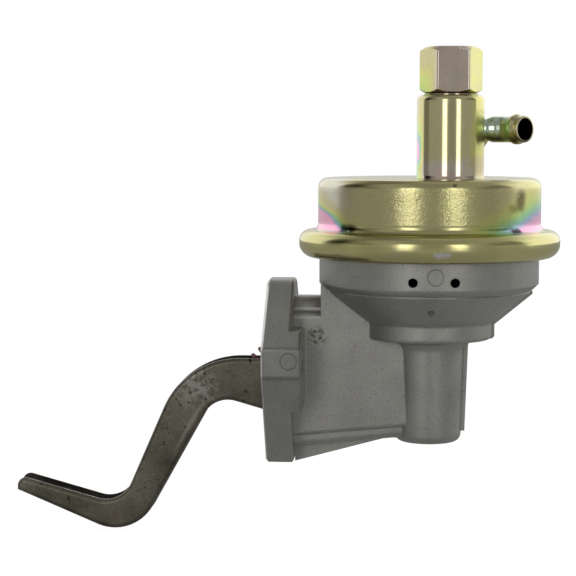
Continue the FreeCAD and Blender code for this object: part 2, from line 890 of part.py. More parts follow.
def oil_seal():
    """A rubber ring with one lip, in its pocket in the bowl's floor."""
    low = s.bowl_floor - s.seal_high
    return turned_piece("oil_seal", [
        (s.rod_r + s.guide_gap, low),
        (s.seal_r, low),
        (s.seal_r, s.bowl_floor),
        (s.rod_r + s.guide_gap * 12, s.bowl_floor),
        (s.rod_r + s.guide_gap * 12, low + s.seal_high / 2),
        (s.rod_r + s.guide_gap, low + s.seal_high / 3),
    ], x=s.pump_x)


def seal_retainer():
    """A flat stamped ring with a turned-up rim, held down on the seal by the pump spring."""
    low = s.bowl_floor + s.fit_gap
    sheet = s.retainer_sheet
    edge = pump_spring_r + s.pump_spring_wire
    lip = pump_spring_r - s.retainer_inset
    return turned_piece("seal_retainer", [
        (s.rod_r + s.free_gap, low),
        (edge, low),
        (edge, low + sheet),
        (lip + sheet, low + sheet),
        (lip + sheet, low + sheet * 3),
        (lip, low + sheet * 3),
        (lip, low + sheet),
        (s.rod_r + s.free_gap, low + sheet),
    ], x=s.pump_x)


def diaphragm_spring():
    low = s.bowl_floor + s.fit_gap + s.retainer_sheet + s.fit_gap
    top = cloth_low - s.plate_sheet - s.fit_gap
    return coil("diaphragm_spring", pump_spring_r, s.pump_spring_wire, top - low,
                s.pump_spring_turns, x=s.pump_x, z=low)


# Valve body and valves

def valve_body():
    """A dished casting clamped over the diaphragm, with a tower for each valve."""
    body = new_body("valve_body")
    deck_top = dish_deck + s.dish_sheet
    inner = dish_outer - s.dish_wall
    turned(body, "Revolution", [
        (0, dish_deck),
        (inner, dish_deck, s.cast_round),
        (inner, clamp_top),
        (rim_r, clamp_top),
        (rim_r, valve_rim_top),
        (dish_outer, valve_rim_top),
        (dish_outer, deck_top, s.cast_round * 2),
        (0, deck_top),
    ], across=s.pump_x)
    towers = ((inlet_at_x, s.inlet_y, tower_high), (fitting_at_x, s.fitting_y, outlet_tower_high))
    for x, y, high in towers:
        tower = sketch_on(body, "XY_Plane", out=dish_deck)
        draw_circle(tower, x, y, s.valve_r + s.tower_wall)
        straight(body, "Pad", tower, high)
        bore = sketch_on(body, "XY_Plane", out=dish_deck)
        draw_circle(bore, x, y, s.valve_r + s.fit_gap)
        straight(body, "Pocket", bore, tower_high + s.fit_gap, reverse=True)
    socket = sketch_on(body, "XY_Plane", out=dish_deck)
    draw_circle(socket, fitting_at_x, s.fitting_y, s.tube_r + s.fit_gap)
    straight(body, "Pocket", socket, outlet_tower_high + 1, reverse=True)
    return body


def valve_gasket():
    outer = rim_r - s.gasket_inset
    low = valve_rim_top
    return turned_piece("valve_gasket", [
        (dish_outer + s.free_gap, low),
        (outer, low),
        (outer, low + s.gasket_thick),
        (dish_outer + s.free_gap, low + s.gasket_thick),
    ], x=s.pump_x)


def valve_parts(name, x, y, z, flipped):
    """Seat, disc, spring and cage of one valve, built upwards from the seat or hung upside down."""
    turn = Rotation(Vector(1, 0, 0), 180) if flipped else None
    place = {"x": x, "y": y, "z": z, "turn": turn}
    seat = turned_piece(f"{name}_valve_seat", [
        (s.seat_hole, 0),
        (s.valve_r, 0),
        (s.valve_r, s.seat_high),
        (s.seat_hole + 1.0, s.seat_high),
        (s.seat_hole, s.seat_high - 0.5),
    ], **place)
    disc_low = s.seat_high + s.disc_gap
    disc = turned_piece(f"{name}_valve_disc", [
        (0, disc_low),
        (s.disc_r, disc_low, 0.3),
        (s.disc_r, disc_low + s.disc_thick, 0.3),
        (0, disc_low + s.disc_thick),
    ], **place)
    cage = new_body(f"{name}_valve_cage", **place)
    cage_top = s.seat_high + s.cage_high - s.fit_gap
    turned(cage, "Revolution", [
        (s.valve_r - s.cage_sheet, s.seat_high + s.fit_gap),
        (s.valve_r, s.seat_high + s.fit_gap),
        (s.valve_r, cage_top, 1.0),
        (s.cage_hole, cage_top),
        (s.cage_hole, cage_top - s.cage_sheet),
        (s.valve_r - s.cage_sheet, cage_top - s.cage_sheet, 0.4),
    ])
    for role in ("XZ_Plane", "YZ_Plane"):
        window = sketch_on(cage, role)
        half = s.cage_window / 2
        low = disc_low + s.disc_thick
        draw_outline(window, [(-half, low), (half, low), (half, cage_top - 1.2), (-half, cage_top - 1.2)])
        straight(cage, "Pocket", window, s.valve_r * 3, both_ways=True)
    spring_low = disc_low + s.disc_thick + s.fit_gap
    spring_top = cage_top - s.cage_sheet - s.fit_gap
    spring_mean = s.cage_hole + s.valve_spring_wire * 2
    lift = -spring_low if flipped else spring_low
    spring = coil(f"{name}_valve_spring", spring_mean, s.valve_spring_wire, spring_top - spring_low,
                  s.valve_spring_turns, x=x, y=y, z=z + lift, turn=turn)
    return [seat, disc, cage, spring]


# Fitting, nipple and inner tube

def outlet_fitting():
    """A turned fitting with a hexagon on top; one stepped bore makes the port and the ring space."""
    body = new_body("outlet_fitting", x=fitting_at_x, y=s.fitting_y)
    turned(body, "Revolution", [
        (0, cover_top - s.spigot_deep),
        (s.spigot_r, cover_top - s.spigot_deep),
        (s.spigot_r, cover_top),
        (s.fitting_r, cover_top),
        (s.fitting_r, fitting_top, s.fitting_round),
        (s.neck_r, fitting_top),
        (s.neck_r, hex_low + 1),
        (0, hex_low + 1),
    ])
    hexagon = sketch_on(body, "XY_Plane", out=hex_low)
    corner_r = s.hex_flats / math.sqrt(3)
    bearings = [math.radians(SIZES["hex_turn"] + 60 * i) for i in range(6)]
    draw_outline(hexagon, [(corner_r * math.cos(a), corner_r * math.sin(a)) for a in bearings])
    straight(body, "Pad", hexagon, s.hex_high)
    past = s.hex_flats * 0.65
    drop = (past - s.hex_face_r) * math.tan(math.radians(33))
    for face, inward in ((hex_top, -drop), (hex_low, drop)):
        turned(body, "Groove", [
            (s.hex_face_r, face),
            (past, face),
            (past, face + inward),
        ])
    braze = sketch_on(body, "XZ_Plane")
    draw_outline(braze, [
        (s.fitting_r - 1.0, nipple_z - s.nipple_root_r - s.braze_high),
        (s.fitting_r, nipple_z - s.nipple_root_r - s.braze_high),
        (s.fitting_r + s.braze_out, nipple_z - s.nipple_root_r - s.braze_clear),
        (s.fitting_r + 0.5, nipple_z - s.nipple_root_r - 0.1),
        (s.fitting_r - 1.0, nipple_z - s.nipple_root_r - 0.1),
    ])
    straight(body, "Pad", braze, s.braze_half * 2, both_ways=True)
    turned(body, "Groove", [
        (0, cover_top - s.spigot_deep - 1),
        (s.fitting_bore, cover_top - s.spigot_deep - 1),
        (s.fitting_bore, fitting_bore_top, s.fitting_round),
        (s.tube_r + s.fit_gap, fitting_bore_top),
        (s.tube_r + s.fit_gap, hex_top - s.port_deep - 1),
        (s.port_r, hex_top - s.port_deep),
        (s.port_r, hex_top - 1),
        (s.port_r + 1, hex_top + 0.5),
        (0, hex_top + 0.5),
    ])
    side = sketch_on(body, "YZ_Plane")
    draw_circle(side, 0, nipple_z, s.nipple_root_r + s.fit_gap)
    straight(body, "Pocket", side, s.fitting_r + 1, reverse=True)
    body.Placement = Placement(Vector(), Rotation(Vector(0, 0, 1), SIZES["nipple_turn"]))
    return body


def hose_nipple():
    """A formed and bent tube with a hose bead, brazed into the side of the fitting.

    The tube is drawn with its inner end along the body's own upright axis. It swells outside the
    fitting, bends, and goes on straight to the hose bead.
    """
    start = s.fitting_bore + 0.5
    bend_from = s.fitting_r + s.nipple_neck
    upright = Rotation(Vector(0, 0, 1), SIZES["nipple_turn"]).multiply(Rotation(Vector(0, 1, 0), 90))
    body = turned_piece("hose_nipple", [
        (s.nipple_root_bore, start),
        (s.nipple_root_r, start),
        (s.nipple_root_r, s.fitting_r + 0.6, 4.0),
        (s.nipple_r, bend_from - 0.8, 4.0),
        (s.nipple_r, bend_from),
        (s.nipple_bore, bend_from),
        (s.nipple_root_bore, s.fitting_r),
    ], x=fitting_at_x, y=s.fitting_y, z=nipple_z, turn=upright)
    ring = sketch_on(body, "XY_Plane", up=-s.nipple_bend_r, out=bend_from)
    draw_circle(ring, 0, s.nipple_bend_r, s.nipple_r)
    draw_circle(ring, 0, s.nipple_bend_r, s.nipple_bore)
    elbow = add_feature(body, "Revolution", ring)
    elbow.ReferenceAxis = (ring, ["H_Axis"])
    bind(elbow, "Angle", s.nipple_bend)
    bend = math.radians(SIZES["nipple_bend"])
    hose_end = sketch_on(
        body,
        "YZ_Plane",
        across=s.nipple_bend_r * (math.cos(bend) - 1),
        up=bend_from + s.nipple_bend_r * math.sin(bend),
        turn=Rotation(Vector(0, 0, 1), SIZES["nipple_bend"]),
    )
    draw_outline(hose_end, [
        (s.nipple_bore, 0),
        (s.nipple_r, 0),
        (s.nipple_r, s.nipple_bead_at - s.nipple_bead_half, 0.4),
        (s.nipple_bead_r, s.nipple_bead_at - s.nipple_bead_half * 0.5, 0.6),
        (s.nipple_bead_r, s.nipple_bead_at + s.nipple_bead_half * 0.7, 0.8),
        (s.nipple_r + 0.15, s.nipple_bead_at + s.nipple_bead_half * 2.4, 0.8),
        (s.nipple_r, s.nipple_end, 0.3),
        (s.nipple_bore, s.nipple_end),
    ])
    straight_end = add_feature(body, "Revolution", hose_end)
    straight_end.ReferenceAxis = (hose_end, ["V_Axis"])
    straight_end.Angle = 360
    doc.recompute()
    return body


def outlet_tube():
    """The inner tube that leads the outlet side past the inlet's ring space to the port."""
    low = dish_deck + tower_high + s.free_gap
    top = hex_top - s.port_deep - 1
    return turned_piece("outlet_tube", [
        (s.tube_r - s.tube_wall, low),
        (s.tube_r, low),
        (s.tube_r, top),
        (s.tube_r - s.tube_wall, top),
    ], x=fitting_at_x, y=s.fitting_y)


# Rocker arm, link, pivot and return spring

def arm_open_corners():
    """Corners of the arm's open edge, from its rear to its outer end."""
    return [
        (-s.arm_reach * s.arm_knee_share, s.arm_top, s.arm_knee_round),
        (-s.arm_reach * s.arm_elbow_share, s.arm_elbow_z, s.arm_elbow_round),
        (-s.arm_reach, s.tip_top, s.tip_round),
    ]


def arm_web_corners():
    """Corners of the arm's closed edge, from its outer end to its root."""
    return [
        (-s.arm_reach, s.tip_low),
        (-s.arm_reach * s.web_elbow_share, s.web_elbow_z, s.web_elbow_round),
        (-s.arm_reach * s.web_knee_share, s.web_knee_z, s.web_knee_round),
        (s.web_root_x, s.arm_root_low, s.web_root_round),
    ]


def rocker_arm():
    """A stamped channel, open on top: the full outline less a channel of the same bends, moved inwards."""
    body = new_body("rocker_arm")
    side = sketch_on(body, "XZ_Plane")
    eye = (s.arm_top - s.arm_root_low) / 2 - s.running_gap
    draw_outline(side, [
        (s.arm_rear, s.arm_top, eye),
        *arm_open_corners(),
        *arm_web_corners(),
        (s.arm_rear, s.arm_root_low, eye),
    ])
    straight(body, "Pad", side, s.arm_half * 2, both_ways=True)

    channel = sketch_on(body, "XZ_Plane")
    # Moved by this much, each run of the web keeps the sheet's thickness
    back = s.arm_sheet * s.web_back_share
    up = s.arm_sheet * s.web_up_share
    end, elbow, knee, root = arm_web_corners()
    tip_slope = (end[1] - elbow[1]) / (elbow[0] - end[0])
    past = s.arm_half
    draw_outline(channel, [
        (s.arm_rear + past, s.arm_top + past),
        (end[0] - past, s.arm_top + past),
        (end[0] - past - back, end[1] + past * tip_slope + up),
        (elbow[0] - back, elbow[1] + up, elbow[2]),
        (knee[0] - back, knee[1] + up, knee[2]),
        (root[0] - back, root[1] + s.arm_sheet, root[2]),
        (s.arm_rear + past, root[1] + s.arm_sheet),
    ])
    straight(body, "Pocket", channel, (s.arm_half - s.arm_sheet) * 2, both_ways=True)
    dress(body, "Fillet", is_arm_web_edge, s.arm_bend)

    eye_hole = sketch_on(body, "XZ_Plane")
    draw_circle(eye_hole, s.pivot_x, s.pivot_z, s.pin_r + s.running_gap)
    straight(body, "Pocket", eye_hole, s.arm_half * 3, both_ways=True)
    return body


def distance_to_line(point, corners):
    """Smallest distance in the XZ plane from a point to the straight runs between the corners."""
    places = [Vector(number(corner[0]), 0, number(corner[1])) for corner in corners]
    flat = Vector(point.x, 0, point.z)
    return min(
        Part.makeLine(first, second).distToShape(Part.Vertex(flat))[0]
        for first, second in zip(places, places[1:])
    )


def is_arm_web_edge(edge):
    """Edges of the arm's two outer sides that follow its closed edge, from the outer end to the root."""
    middle = edge.valueAt((edge.FirstParameter + edge.LastParameter) / 2)
    if any(not near(abs(point.y), SIZES["arm_half"]) for point in ends(edge) + [middle]):
        return False
    if near(middle.x, -SIZES["arm_reach"], 0.5) or middle.x > SIZES["web_root_x"]:
        return False
    open_edge = [(s.arm_rear, s.arm_top), *arm_open_corners()]
    return distance_to_line(middle, arm_web_corners()) < distance_to_line(middle, open_edge)


def pivot_pin():
    return turned_piece("pivot_pin", [
        (0, -s.pin_half),
        (s.pin_r, -s.pin_half, 0.5),
        (s.pin_r, s.pin_half, 0.5),
        (0, s.pin_half),
    ], x=s.pivot_x, z=s.pivot_z, turn=Rotation(Vector(1, 0, 0), -90))


def pivot_plug():
    return turned_piece("pivot_plug", [
        (0, 0),
        (s.pin_r, 0),
        (s.pin_r, s.plug_long, 0.6),
        (0, s.plug_long),
    ], x=s.pivot_x, y=s.pin_half + s.fit_gap, z=s.pivot_z, turn=Rotation(Vector(1, 0, 0), -90))


def pivot_bush():
    """The bush that keeps the arm's cheeks apart and carries the link."""
    half = s.arm_half - s.arm_sheet - s.running_gap
    bore = s.pin_r + s.running_gap
    return turned_piece("pivot_bush", [
        (bore, -half),
        (s.bush_r, -half),
        (s.bush_r, half),
        (bore, half),
    ], x=s.pivot_x, z=s.pivot_z, turn=Rotation(Vector(1, 0, 0), -90))


def pivot_washers():
    """Two thin washers, one each side, between the arm and the chamber's walls."""
    made = []
    room = s.chamber_half - s.chamber_side
    middle = (s.arm_half + room) / 2
    for name, offset in (("front", -middle), ("rear", middle)):
        made.append(turned_piece(f"pivot_washer_{name}", [
            (s.pin_r + s.running_gap, -s.washer_thick / 2),
            (s.washer_r, -s.washer_thick / 2),
            (s.washer_r, s.washer_thick / 2),
            (s.pin_r + s.running_gap, s.washer_thick / 2),
        ], x=s.pivot_x, y=offset, z=s.pivot_z, turn=Rotation(Vector(1, 0, 0), -90)))
    return made


def rocker_link():
    """A stamped lever: two ears on the bush, a flat blade and a forked end that hooks over the rod."""
    body = new_body("rocker_link")
    tip_x = s.pump_x + s.link_reach
    blade_top = s.link_low + s.link_thick
    ears = sketch_on(body, "XZ_Plane")
    ear_round = s.link_eye * 0.68
    draw_outline(ears, [
        (s.pivot_x - s.link_eye, s.pivot_z + s.link_eye, ear_round),
        (s.pivot_x - s.link_eye, s.pivot_z - s.link_eye, ear_round),
        (s.pivot_x + s.link_eye * 2.2, s.link_low),
        (s.pivot_x + s.link_eye * 2.6, blade_top),
    ])
    straight(body, "Pad", ears, s.link_half * 2, both_ways=True)
    between = sketch_on(body, "XZ_Plane")
    draw_outline(between, [
        (s.pivot_x - s.link_eye * 2, s.pivot_z - s.link_eye * 2),
        (s.pivot_x + s.link_eye * 1.2, s.pivot_z - s.link_eye * 2),
        (s.pivot_x + s.link_eye * 1.2, s.pivot_z + s.link_eye * 2),
        (s.pivot_x - s.link_eye * 2, s.pivot_z + s.link_eye * 2),
    ])
    straight(body, "Pocket", between, (s.link_half - s.link_sheet) * 2, both_ways=True)
    blade = sketch_on(body, "XY_Plane", out=s.link_low)
    start = s.pivot_x + s.link_eye * 1.1
    swell = s.arm_rear + 2
    draw_outline(blade, [
        (start, -s.link_half),
        (swell, -s.link_half, 4.0),
        (s.pump_x - s.link_fork_half * 2, -s.link_fork_half, s.link_neck_round),
        (tip_x, -s.link_fork_half, s.link_corner),
        (tip_x, -s.link_slot_half),
        (s.pump_x - s.link_slot_half, -s.link_slot_half, s.link_slot_half - 0.05),
        (s.pump_x - s.link_slot_half, s.link_slot_half, s.link_slot_half - 0.05),
        (tip_x, s.link_slot_half),
        (tip_x, s.link_fork_half, s.link_corner),
        (s.pump_x - s.link_fork_half * 2, s.link_fork_half, s.link_neck_round),
        (swell, s.link_half, 4.0),
        (start, s.link_half),
    ])
    straight(body, "Pad", blade, s.link_thick)
    eye = sketch_on(body, "XZ_Plane")
    draw_circle(eye, s.pivot_x, s.pivot_z, s.bush_r + s.running_gap)
    straight(body, "Pocket", eye, s.link_half * 3, both_ways=True)
    return body


def return_spring_turn():
    return Rotation(Vector(0, 1, 0), SIZES["return_tilt"])


def arm_return_spring():
    return coil("arm_return_spring", s.return_r, s.return_wire, s.return_long, s.return_turns,
                x=s.return_x, z=s.return_z, turn=return_spring_turn())


def spring_seat():
    """A turned seat with a nub that keeps the return spring in the middle of the arm's channel."""
    seat_r = s.return_r + s.free_gap
    return turned_piece("spring_seat", [
        (0, -s.seat_thick - s.fit_gap),
        (seat_r, -s.seat_thick - s.fit_gap),
        (seat_r, -s.fit_gap),
        (s.seat_nub_r, -s.fit_gap),
        (s.seat_nub_r, s.seat_nub_high, 0.8),
        (0, s.seat_nub_high),
    ], x=s.return_x, z=s.return_z, turn=return_spring_turn())


def build_pump():
    pieces = [
        lower_body(),
        top_cover(),
        diaphragm(),
        *diaphragm_plates(),
        pull_rod(),
        rod_washer(),
        oil_seal(),
        seal_retainer(),
        diaphragm_spring(),
        valve_body(),
        valve_gasket(),
        *valve_parts("outlet", fitting_at_x, s.fitting_y, dish_deck, False),
        *valve_parts("inlet", inlet_at_x, s.inlet_y, dish_deck + tower_high, True),
        outlet_fitting(),
        hose_nipple(),
        outlet_tube(),
        rocker_arm(),
        pivot_pin(),
        pivot_plug(),
        pivot_bush(),
        *pivot_washers(),
        rocker_link(),
        arm_return_spring(),
        spring_seat(),
    ]
    doc.recompute()
    return pieces


def check_pump(pieces):
    """Stop if any object failed to recompute or any piece is not a sound solid."""
    failed = [item.Label for item in doc.Objects if {"Invalid", "Error"} & set(item.State)]
    unsound = [
        piece.Label for piece in pieces
        if piece.Shape.isNull() or not piece.Shape.isValid() or len(piece.Shape.Solids) != 1
    ]
    if failed or unsound:
        raise SystemExit(f"failed: {failed}, unsound: {unsound}")


def write_pump(pieces):
    os.makedirs("parts", exist_ok=True)
    for piece in pieces:
        piece.Shape.exportStep(f"parts/{piece.Label}.step")
        box = piece.Shape.BoundBox
        print(f"{piece.Label:26s} {piece.Shape.Volume:9.0f} mm3  x {box.XMin:7.1f} {box.XMax:6.1f}"
              f"  y {box.YMin:6.1f} {box.YMax:6.1f}  z {box.ZMin:6.1f} {box.ZMax:6.1f}")


pump = build_pump()
check_pump(pump)
write_pump(pump)
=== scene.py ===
# %% [markdown]
# # A mechanical fuel pump, dressed for a studio picture
#
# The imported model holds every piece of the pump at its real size. This script loads it as a fixed
# frame and gives each piece its finish. Pieces whose curves catch the light, such as the plated
# cover, are made again here as smooth surfaces worked out with numpy, in the same place.

# %% Load the frame
import math
import bmesh
import bpy
import numpy as np
from mathutils import Matrix, Vector


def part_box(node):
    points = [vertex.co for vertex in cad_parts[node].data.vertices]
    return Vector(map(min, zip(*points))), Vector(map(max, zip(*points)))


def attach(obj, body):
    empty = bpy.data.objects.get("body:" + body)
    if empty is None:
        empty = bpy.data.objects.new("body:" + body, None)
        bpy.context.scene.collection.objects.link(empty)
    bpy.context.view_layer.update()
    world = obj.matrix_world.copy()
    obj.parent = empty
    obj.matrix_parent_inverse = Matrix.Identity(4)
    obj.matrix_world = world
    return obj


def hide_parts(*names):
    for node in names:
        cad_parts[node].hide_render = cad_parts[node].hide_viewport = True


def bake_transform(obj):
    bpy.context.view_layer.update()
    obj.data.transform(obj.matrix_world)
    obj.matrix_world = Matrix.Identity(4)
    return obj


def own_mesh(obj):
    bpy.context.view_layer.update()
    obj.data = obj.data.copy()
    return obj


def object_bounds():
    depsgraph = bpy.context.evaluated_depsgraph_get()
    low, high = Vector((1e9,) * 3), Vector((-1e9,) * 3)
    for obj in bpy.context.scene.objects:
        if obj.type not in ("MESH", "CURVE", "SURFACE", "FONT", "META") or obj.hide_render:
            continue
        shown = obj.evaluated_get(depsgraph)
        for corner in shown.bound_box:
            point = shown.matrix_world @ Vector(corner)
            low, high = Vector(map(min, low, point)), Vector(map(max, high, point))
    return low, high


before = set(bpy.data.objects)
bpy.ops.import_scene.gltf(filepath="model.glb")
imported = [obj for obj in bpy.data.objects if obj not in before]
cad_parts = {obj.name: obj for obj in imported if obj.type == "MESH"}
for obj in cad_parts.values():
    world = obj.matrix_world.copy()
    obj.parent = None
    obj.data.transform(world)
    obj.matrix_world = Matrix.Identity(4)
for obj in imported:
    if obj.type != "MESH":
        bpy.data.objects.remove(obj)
cad_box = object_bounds()
MM = 0.001
print("CAD nodes:", len(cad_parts))

# %% [markdown]
# ## Places taken from the frame
#
# The cover tells where the pump's upright axis stands, and the fitting tells where the offset
# axis of the fuel connections is. Reading them from the boxes of the CAD nodes means that nothing
# has to be fitted by eye. The cover's wall radius, the height of the bead's shoulder and the
# height of the nipple don't show in any box, so they are written out. All lengths are in
# millimetres and become metres in the mesh.

# %% Axes and main sizes


def box_mm(node):
    """The lowest and highest corner of a CAD node, in millimetres."""
    low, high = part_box(node)
    return np.array(low) / MM, np.array(high) / MM


cover_low, cover_high = box_mm("top_cover")
PUMP_X = (cover_low[0] + cover_high[0]) / 2
BEAD_R = (cover_high[0] - cover_low[0]) / 2
COVER_TOP = cover_high[2]
COVER_FOOT = cover_low[2]
fitting_low, fitting_high = box_mm("outlet_fitting")
tube_low, tube_high = box_mm("outlet_tube")
FIT_X = (tube_low[0] + tube_high[0]) / 2
FIT_Y = (tube_low[1] + tube_high[1]) / 2
HEX_TOP = fitting_high[2]
HEX_LOW = HEX_TOP - 17.45
COVER_R = 42.0
SHOULDER_TOP = 47.2
NIPPLE_Z = 85.1
print(f"pump axis x {PUMP_X:.1f}, bead radius {BEAD_R:.1f}, fitting axis {FIT_X:.1f} {FIT_Y:.1f}")

# %% [markdown]
# ## The camera
#
# The picture was taken from well in front of the pump with a long lens. Its place, its turn to
# the left, its small downward tilt and its focal length are the ones that put the hexagon, the
# bead, the flange and the arm's tip where the picture shows them.

# %% Camera
CAMERA_AT = (59.13, -702.18, 83.7)
CAMERA_YAW = math.radians(4.21)
CAMERA_PITCH = math.radians(4.80)
CAMERA_ROLL = math.radians(0.07)
FOCAL_PIXELS = 1849.0
FRAME_PIXELS = 576.0
SENSOR_WIDTH = 36.0


def camera_matrix():
    """Right, up and backward axes as columns: a yaw about Z, a tilt down, then a small roll."""
    forward = Vector((-math.sin(CAMERA_YAW) * math.cos(CAMERA_PITCH),
                      math.cos(CAMERA_YAW) * math.cos(CAMERA_PITCH), -math.sin(CAMERA_PITCH)))
    level = Vector((math.cos(CAMERA_YAW), math.sin(CAMERA_YAW), 0.0))
    upright = level.cross(forward)
    right = math.cos(CAMERA_ROLL) * level + math.sin(CAMERA_ROLL) * upright
    up = math.cos(CAMERA_ROLL) * upright - math.sin(CAMERA_ROLL) * level
    turn = Matrix((right, up, -forward)).transposed().to_4x4()
    return Matrix.Translation(Vector(CAMERA_AT) * MM) @ turn


camera_data = bpy.data.cameras.new("camera")
camera_data.sensor_width = SENSOR_WIDTH
camera_data.lens = camera_data.sensor_width * FOCAL_PIXELS / FRAME_PIXELS
camera_data.clip_start = 0.01
camera = bpy.data.objects.new("camera", camera_data)
camera.matrix_world = camera_matrix()
bpy.context.scene.collection.objects.link(camera)
bpy.context.scene.camera = camera
print(f"lens {camera_data.lens:.1f} mm")

# %% [markdown]
# ## Light, floor and background
#
# The fitting works like a mirror of the room. It shows two tall soft boxes left and right of the
# camera, a dim room around the camera and a white backdrop that starts a little behind the pump's
# sides. The lamps and the world below make that room. The background and the floor are white to
# the camera alone by Light Path, which adds no light to the pump, and the floor still keeps a
# shadow.

# %% Lamps
scene = bpy.context.scene
scene.view_settings.view_transform = "Standard"
AIM = Vector((PUMP_X, 0.0, 30.0)) * MM


def soft_box(name, azimuth, distance, rise, width, height, watts):
    """An area lamp that faces the pump, at an azimuth counted from the front towards +X."""
    angle = math.radians(azimuth)
    at = AIM + Vector((math.sin(angle) * distance, -math.cos(angle) * distance, rise))
    lamp = bpy.data.lights.new(name, "AREA")
    lamp.shape = "RECTANGLE"
    lamp.size = width
    lamp.size_y = height
    lamp.energy = watts
    holder = bpy.data.objects.new(name, lamp)
    holder.location = at
    holder.rotation_euler = (AIM - at).to_track_quat("-Z", "Y").to_euler()
    scene.collection.objects.link(holder)


soft_box("left_box", azimuth=-20.0, distance=1.3, rise=0.15, width=0.34, height=1.1, watts=2.5)
soft_box("right_box", azimuth=26.0, distance=1.3, rise=0.15, width=0.30, height=1.1, watts=2.15)

# %% [markdown]
# ## Helpers for shader nodes
#
# A shader is a net of small nodes, and a single sum takes four lines when it is built by hand.
# These helpers make a node, link its inputs and give back its output, so that a finish reads like
# a formula. A mask is a value from 0 to 1 that says where an effect shows.

# %% Node helpers


def place(tree, kind, **settings):
    """Add a shader node and set its plain settings, such as its operation."""
    made = tree.nodes.new(f"ShaderNode{kind}")
    for key, value in settings.items():
        setattr(made, key, value)
    return made


def feed(tree, socket, value):
    """Link a socket to another socket, or give it a plain value."""
    if isinstance(value, bpy.types.NodeSocket):
        tree.links.new(value, socket)
    else:
        socket.default_value = value


def calc(tree, operation, *values):
    """One Math node on sockets or plain numbers."""
    made = place(tree, "Math", operation=operation)
    for socket, value in zip(made.inputs, values):
        feed(tree, socket, value)
    return made.outputs[0]


print("node helpers:", [made.__name__ for made in (place, feed, calc)])

# %% Sums and masks


def times(tree, first, *others):
    """The product of the values. For masks it is the place where all of them show."""
    for other in others:
        first = calc(tree, "MULTIPLY", first, other)
    return first


def plus(tree, first, *others):
    """The sum of the values."""
    for other in others:
        first = calc(tree, "ADD", first, other)
    return first


def minus(tree, first, second):
    """The first value less the second."""
    return calc(tree, "SUBTRACT", first, second)


def apart(tree, first, second):
    """How far two values are from each other, whichever is the larger."""
    return calc(tree, "ABSOLUTE", minus(tree, first, second))


def slide(tree, amount, first, second):
    """The first value where the amount is 0, the second where it is 1, and evenly between them."""
    return plus(tree, times(tree, minus(tree, second, first), amount), first)


def remap(tree, value, low, high, to_low=0.0, to_high=1.0, smooth=True):
    """Carry a value from one range to another and clamp it there."""
    made = place(tree, "MapRange", interpolation_type="SMOOTHSTEP" if smooth else "LINEAR")
    for name, amount in (("Value", value), ("From Min", low), ("From Max", high),
                         ("To Min", to_low), ("To Max", to_high)):
        feed(tree, made.inputs[name], amount)
    return made.outputs["Result"]


print("value helpers:", [made.__name__ for made in (times, plus, minus, apart, slide, remap)])

# %% Blends and patterns


def blend_colour(tree, amount, first, second, mode="MIX"):
    """The first colour where the amount is 0 and the second, or their product, where it is 1."""
    made = place(tree, "Mix", data_type="RGBA", blend_type=mode, clamp_factor=True)
    for number, value in ((0, amount), (6, first), (7, second)):
        feed(tree, made.inputs[number], value)
    return made.outputs[2]


def noise(tree, where, scale, detail=3.0, rough=0.55):
    """Soft random values about 0.5, with a pattern of so many waves in a metre."""
    made = place(tree, "TexNoise")
    tree.links.new(where, made.inputs["Vector"])
    feed(tree, made.inputs["Scale"], scale)
    made.inputs["Detail"].default_value = detail
    made.inputs["Roughness"].default_value = rough
    return made.outputs["Fac"]


def ramp(tree, value, stops):
    """A colour ramp from (place, colour) stops."""
    made = place(tree, "ValToRGB")
    band = made.color_ramp
    while len(band.elements) < len(stops):
        band.elements.new(0.5)
    for element, (at, colour) in zip(band.elements, stops):
        element.position = at
        element.color = (*colour, 1.0)
    feed(tree, made.inputs["Fac"], value)
    return made.outputs["Color"]


def axes_of(tree, vector):
    """The three parts of a vector: across the picture, away from the camera and up."""
    made = place(tree, "SeparateXYZ")
    tree.links.new(vector, made.inputs[0])
    return made.outputs


print("pattern helpers:", [made.__name__ for made in (blend_colour, noise, ramp, axes_of)])

# %% Colours and shaders


def paint(red, green, blue):
    """A colour as a screen shows it, 0 to 255, turned into the linear values that shaders use."""
    value = np.array([red, green, blue]) / 255.0
    linear = np.where(value <= 0.04045, value / 12.92, ((value + 0.055) / 1.055) ** 2.4)
    return tuple(float(part) for part in linear)


def tint(tree, amount, body, red, green, blue):
    """Lay one screen colour over the colours so far, as strongly as the amount says."""
    return blend_colour(tree, amount, body, (*paint(red, green, blue), 1.0))


def mix_shaders(tree, amount, first, second):
    """The first shader where the amount is 0 and the second where it is 1."""
    made = place(tree, "MixShader")
    feed(tree, made.inputs[0], amount)
    tree.links.new(first, made.inputs[1])
    tree.links.new(second, made.inputs[2])
    return made.outputs[0]


print(f"middle grey on a screen is {paint(128, 128, 128)[0]:.3f} in linear light")

# %% [markdown]
# ## The room as a world shader
#
# Polished plating shows what is around it, so the room is painted into the world by direction.
# Each row below is a share of light and the mask of the directions that get it. The side runs
# from -1 at the left to 1 at the right, the depth from -1 at the camera to 1 behind the pump, and
# the height from -1 below to 1 above.

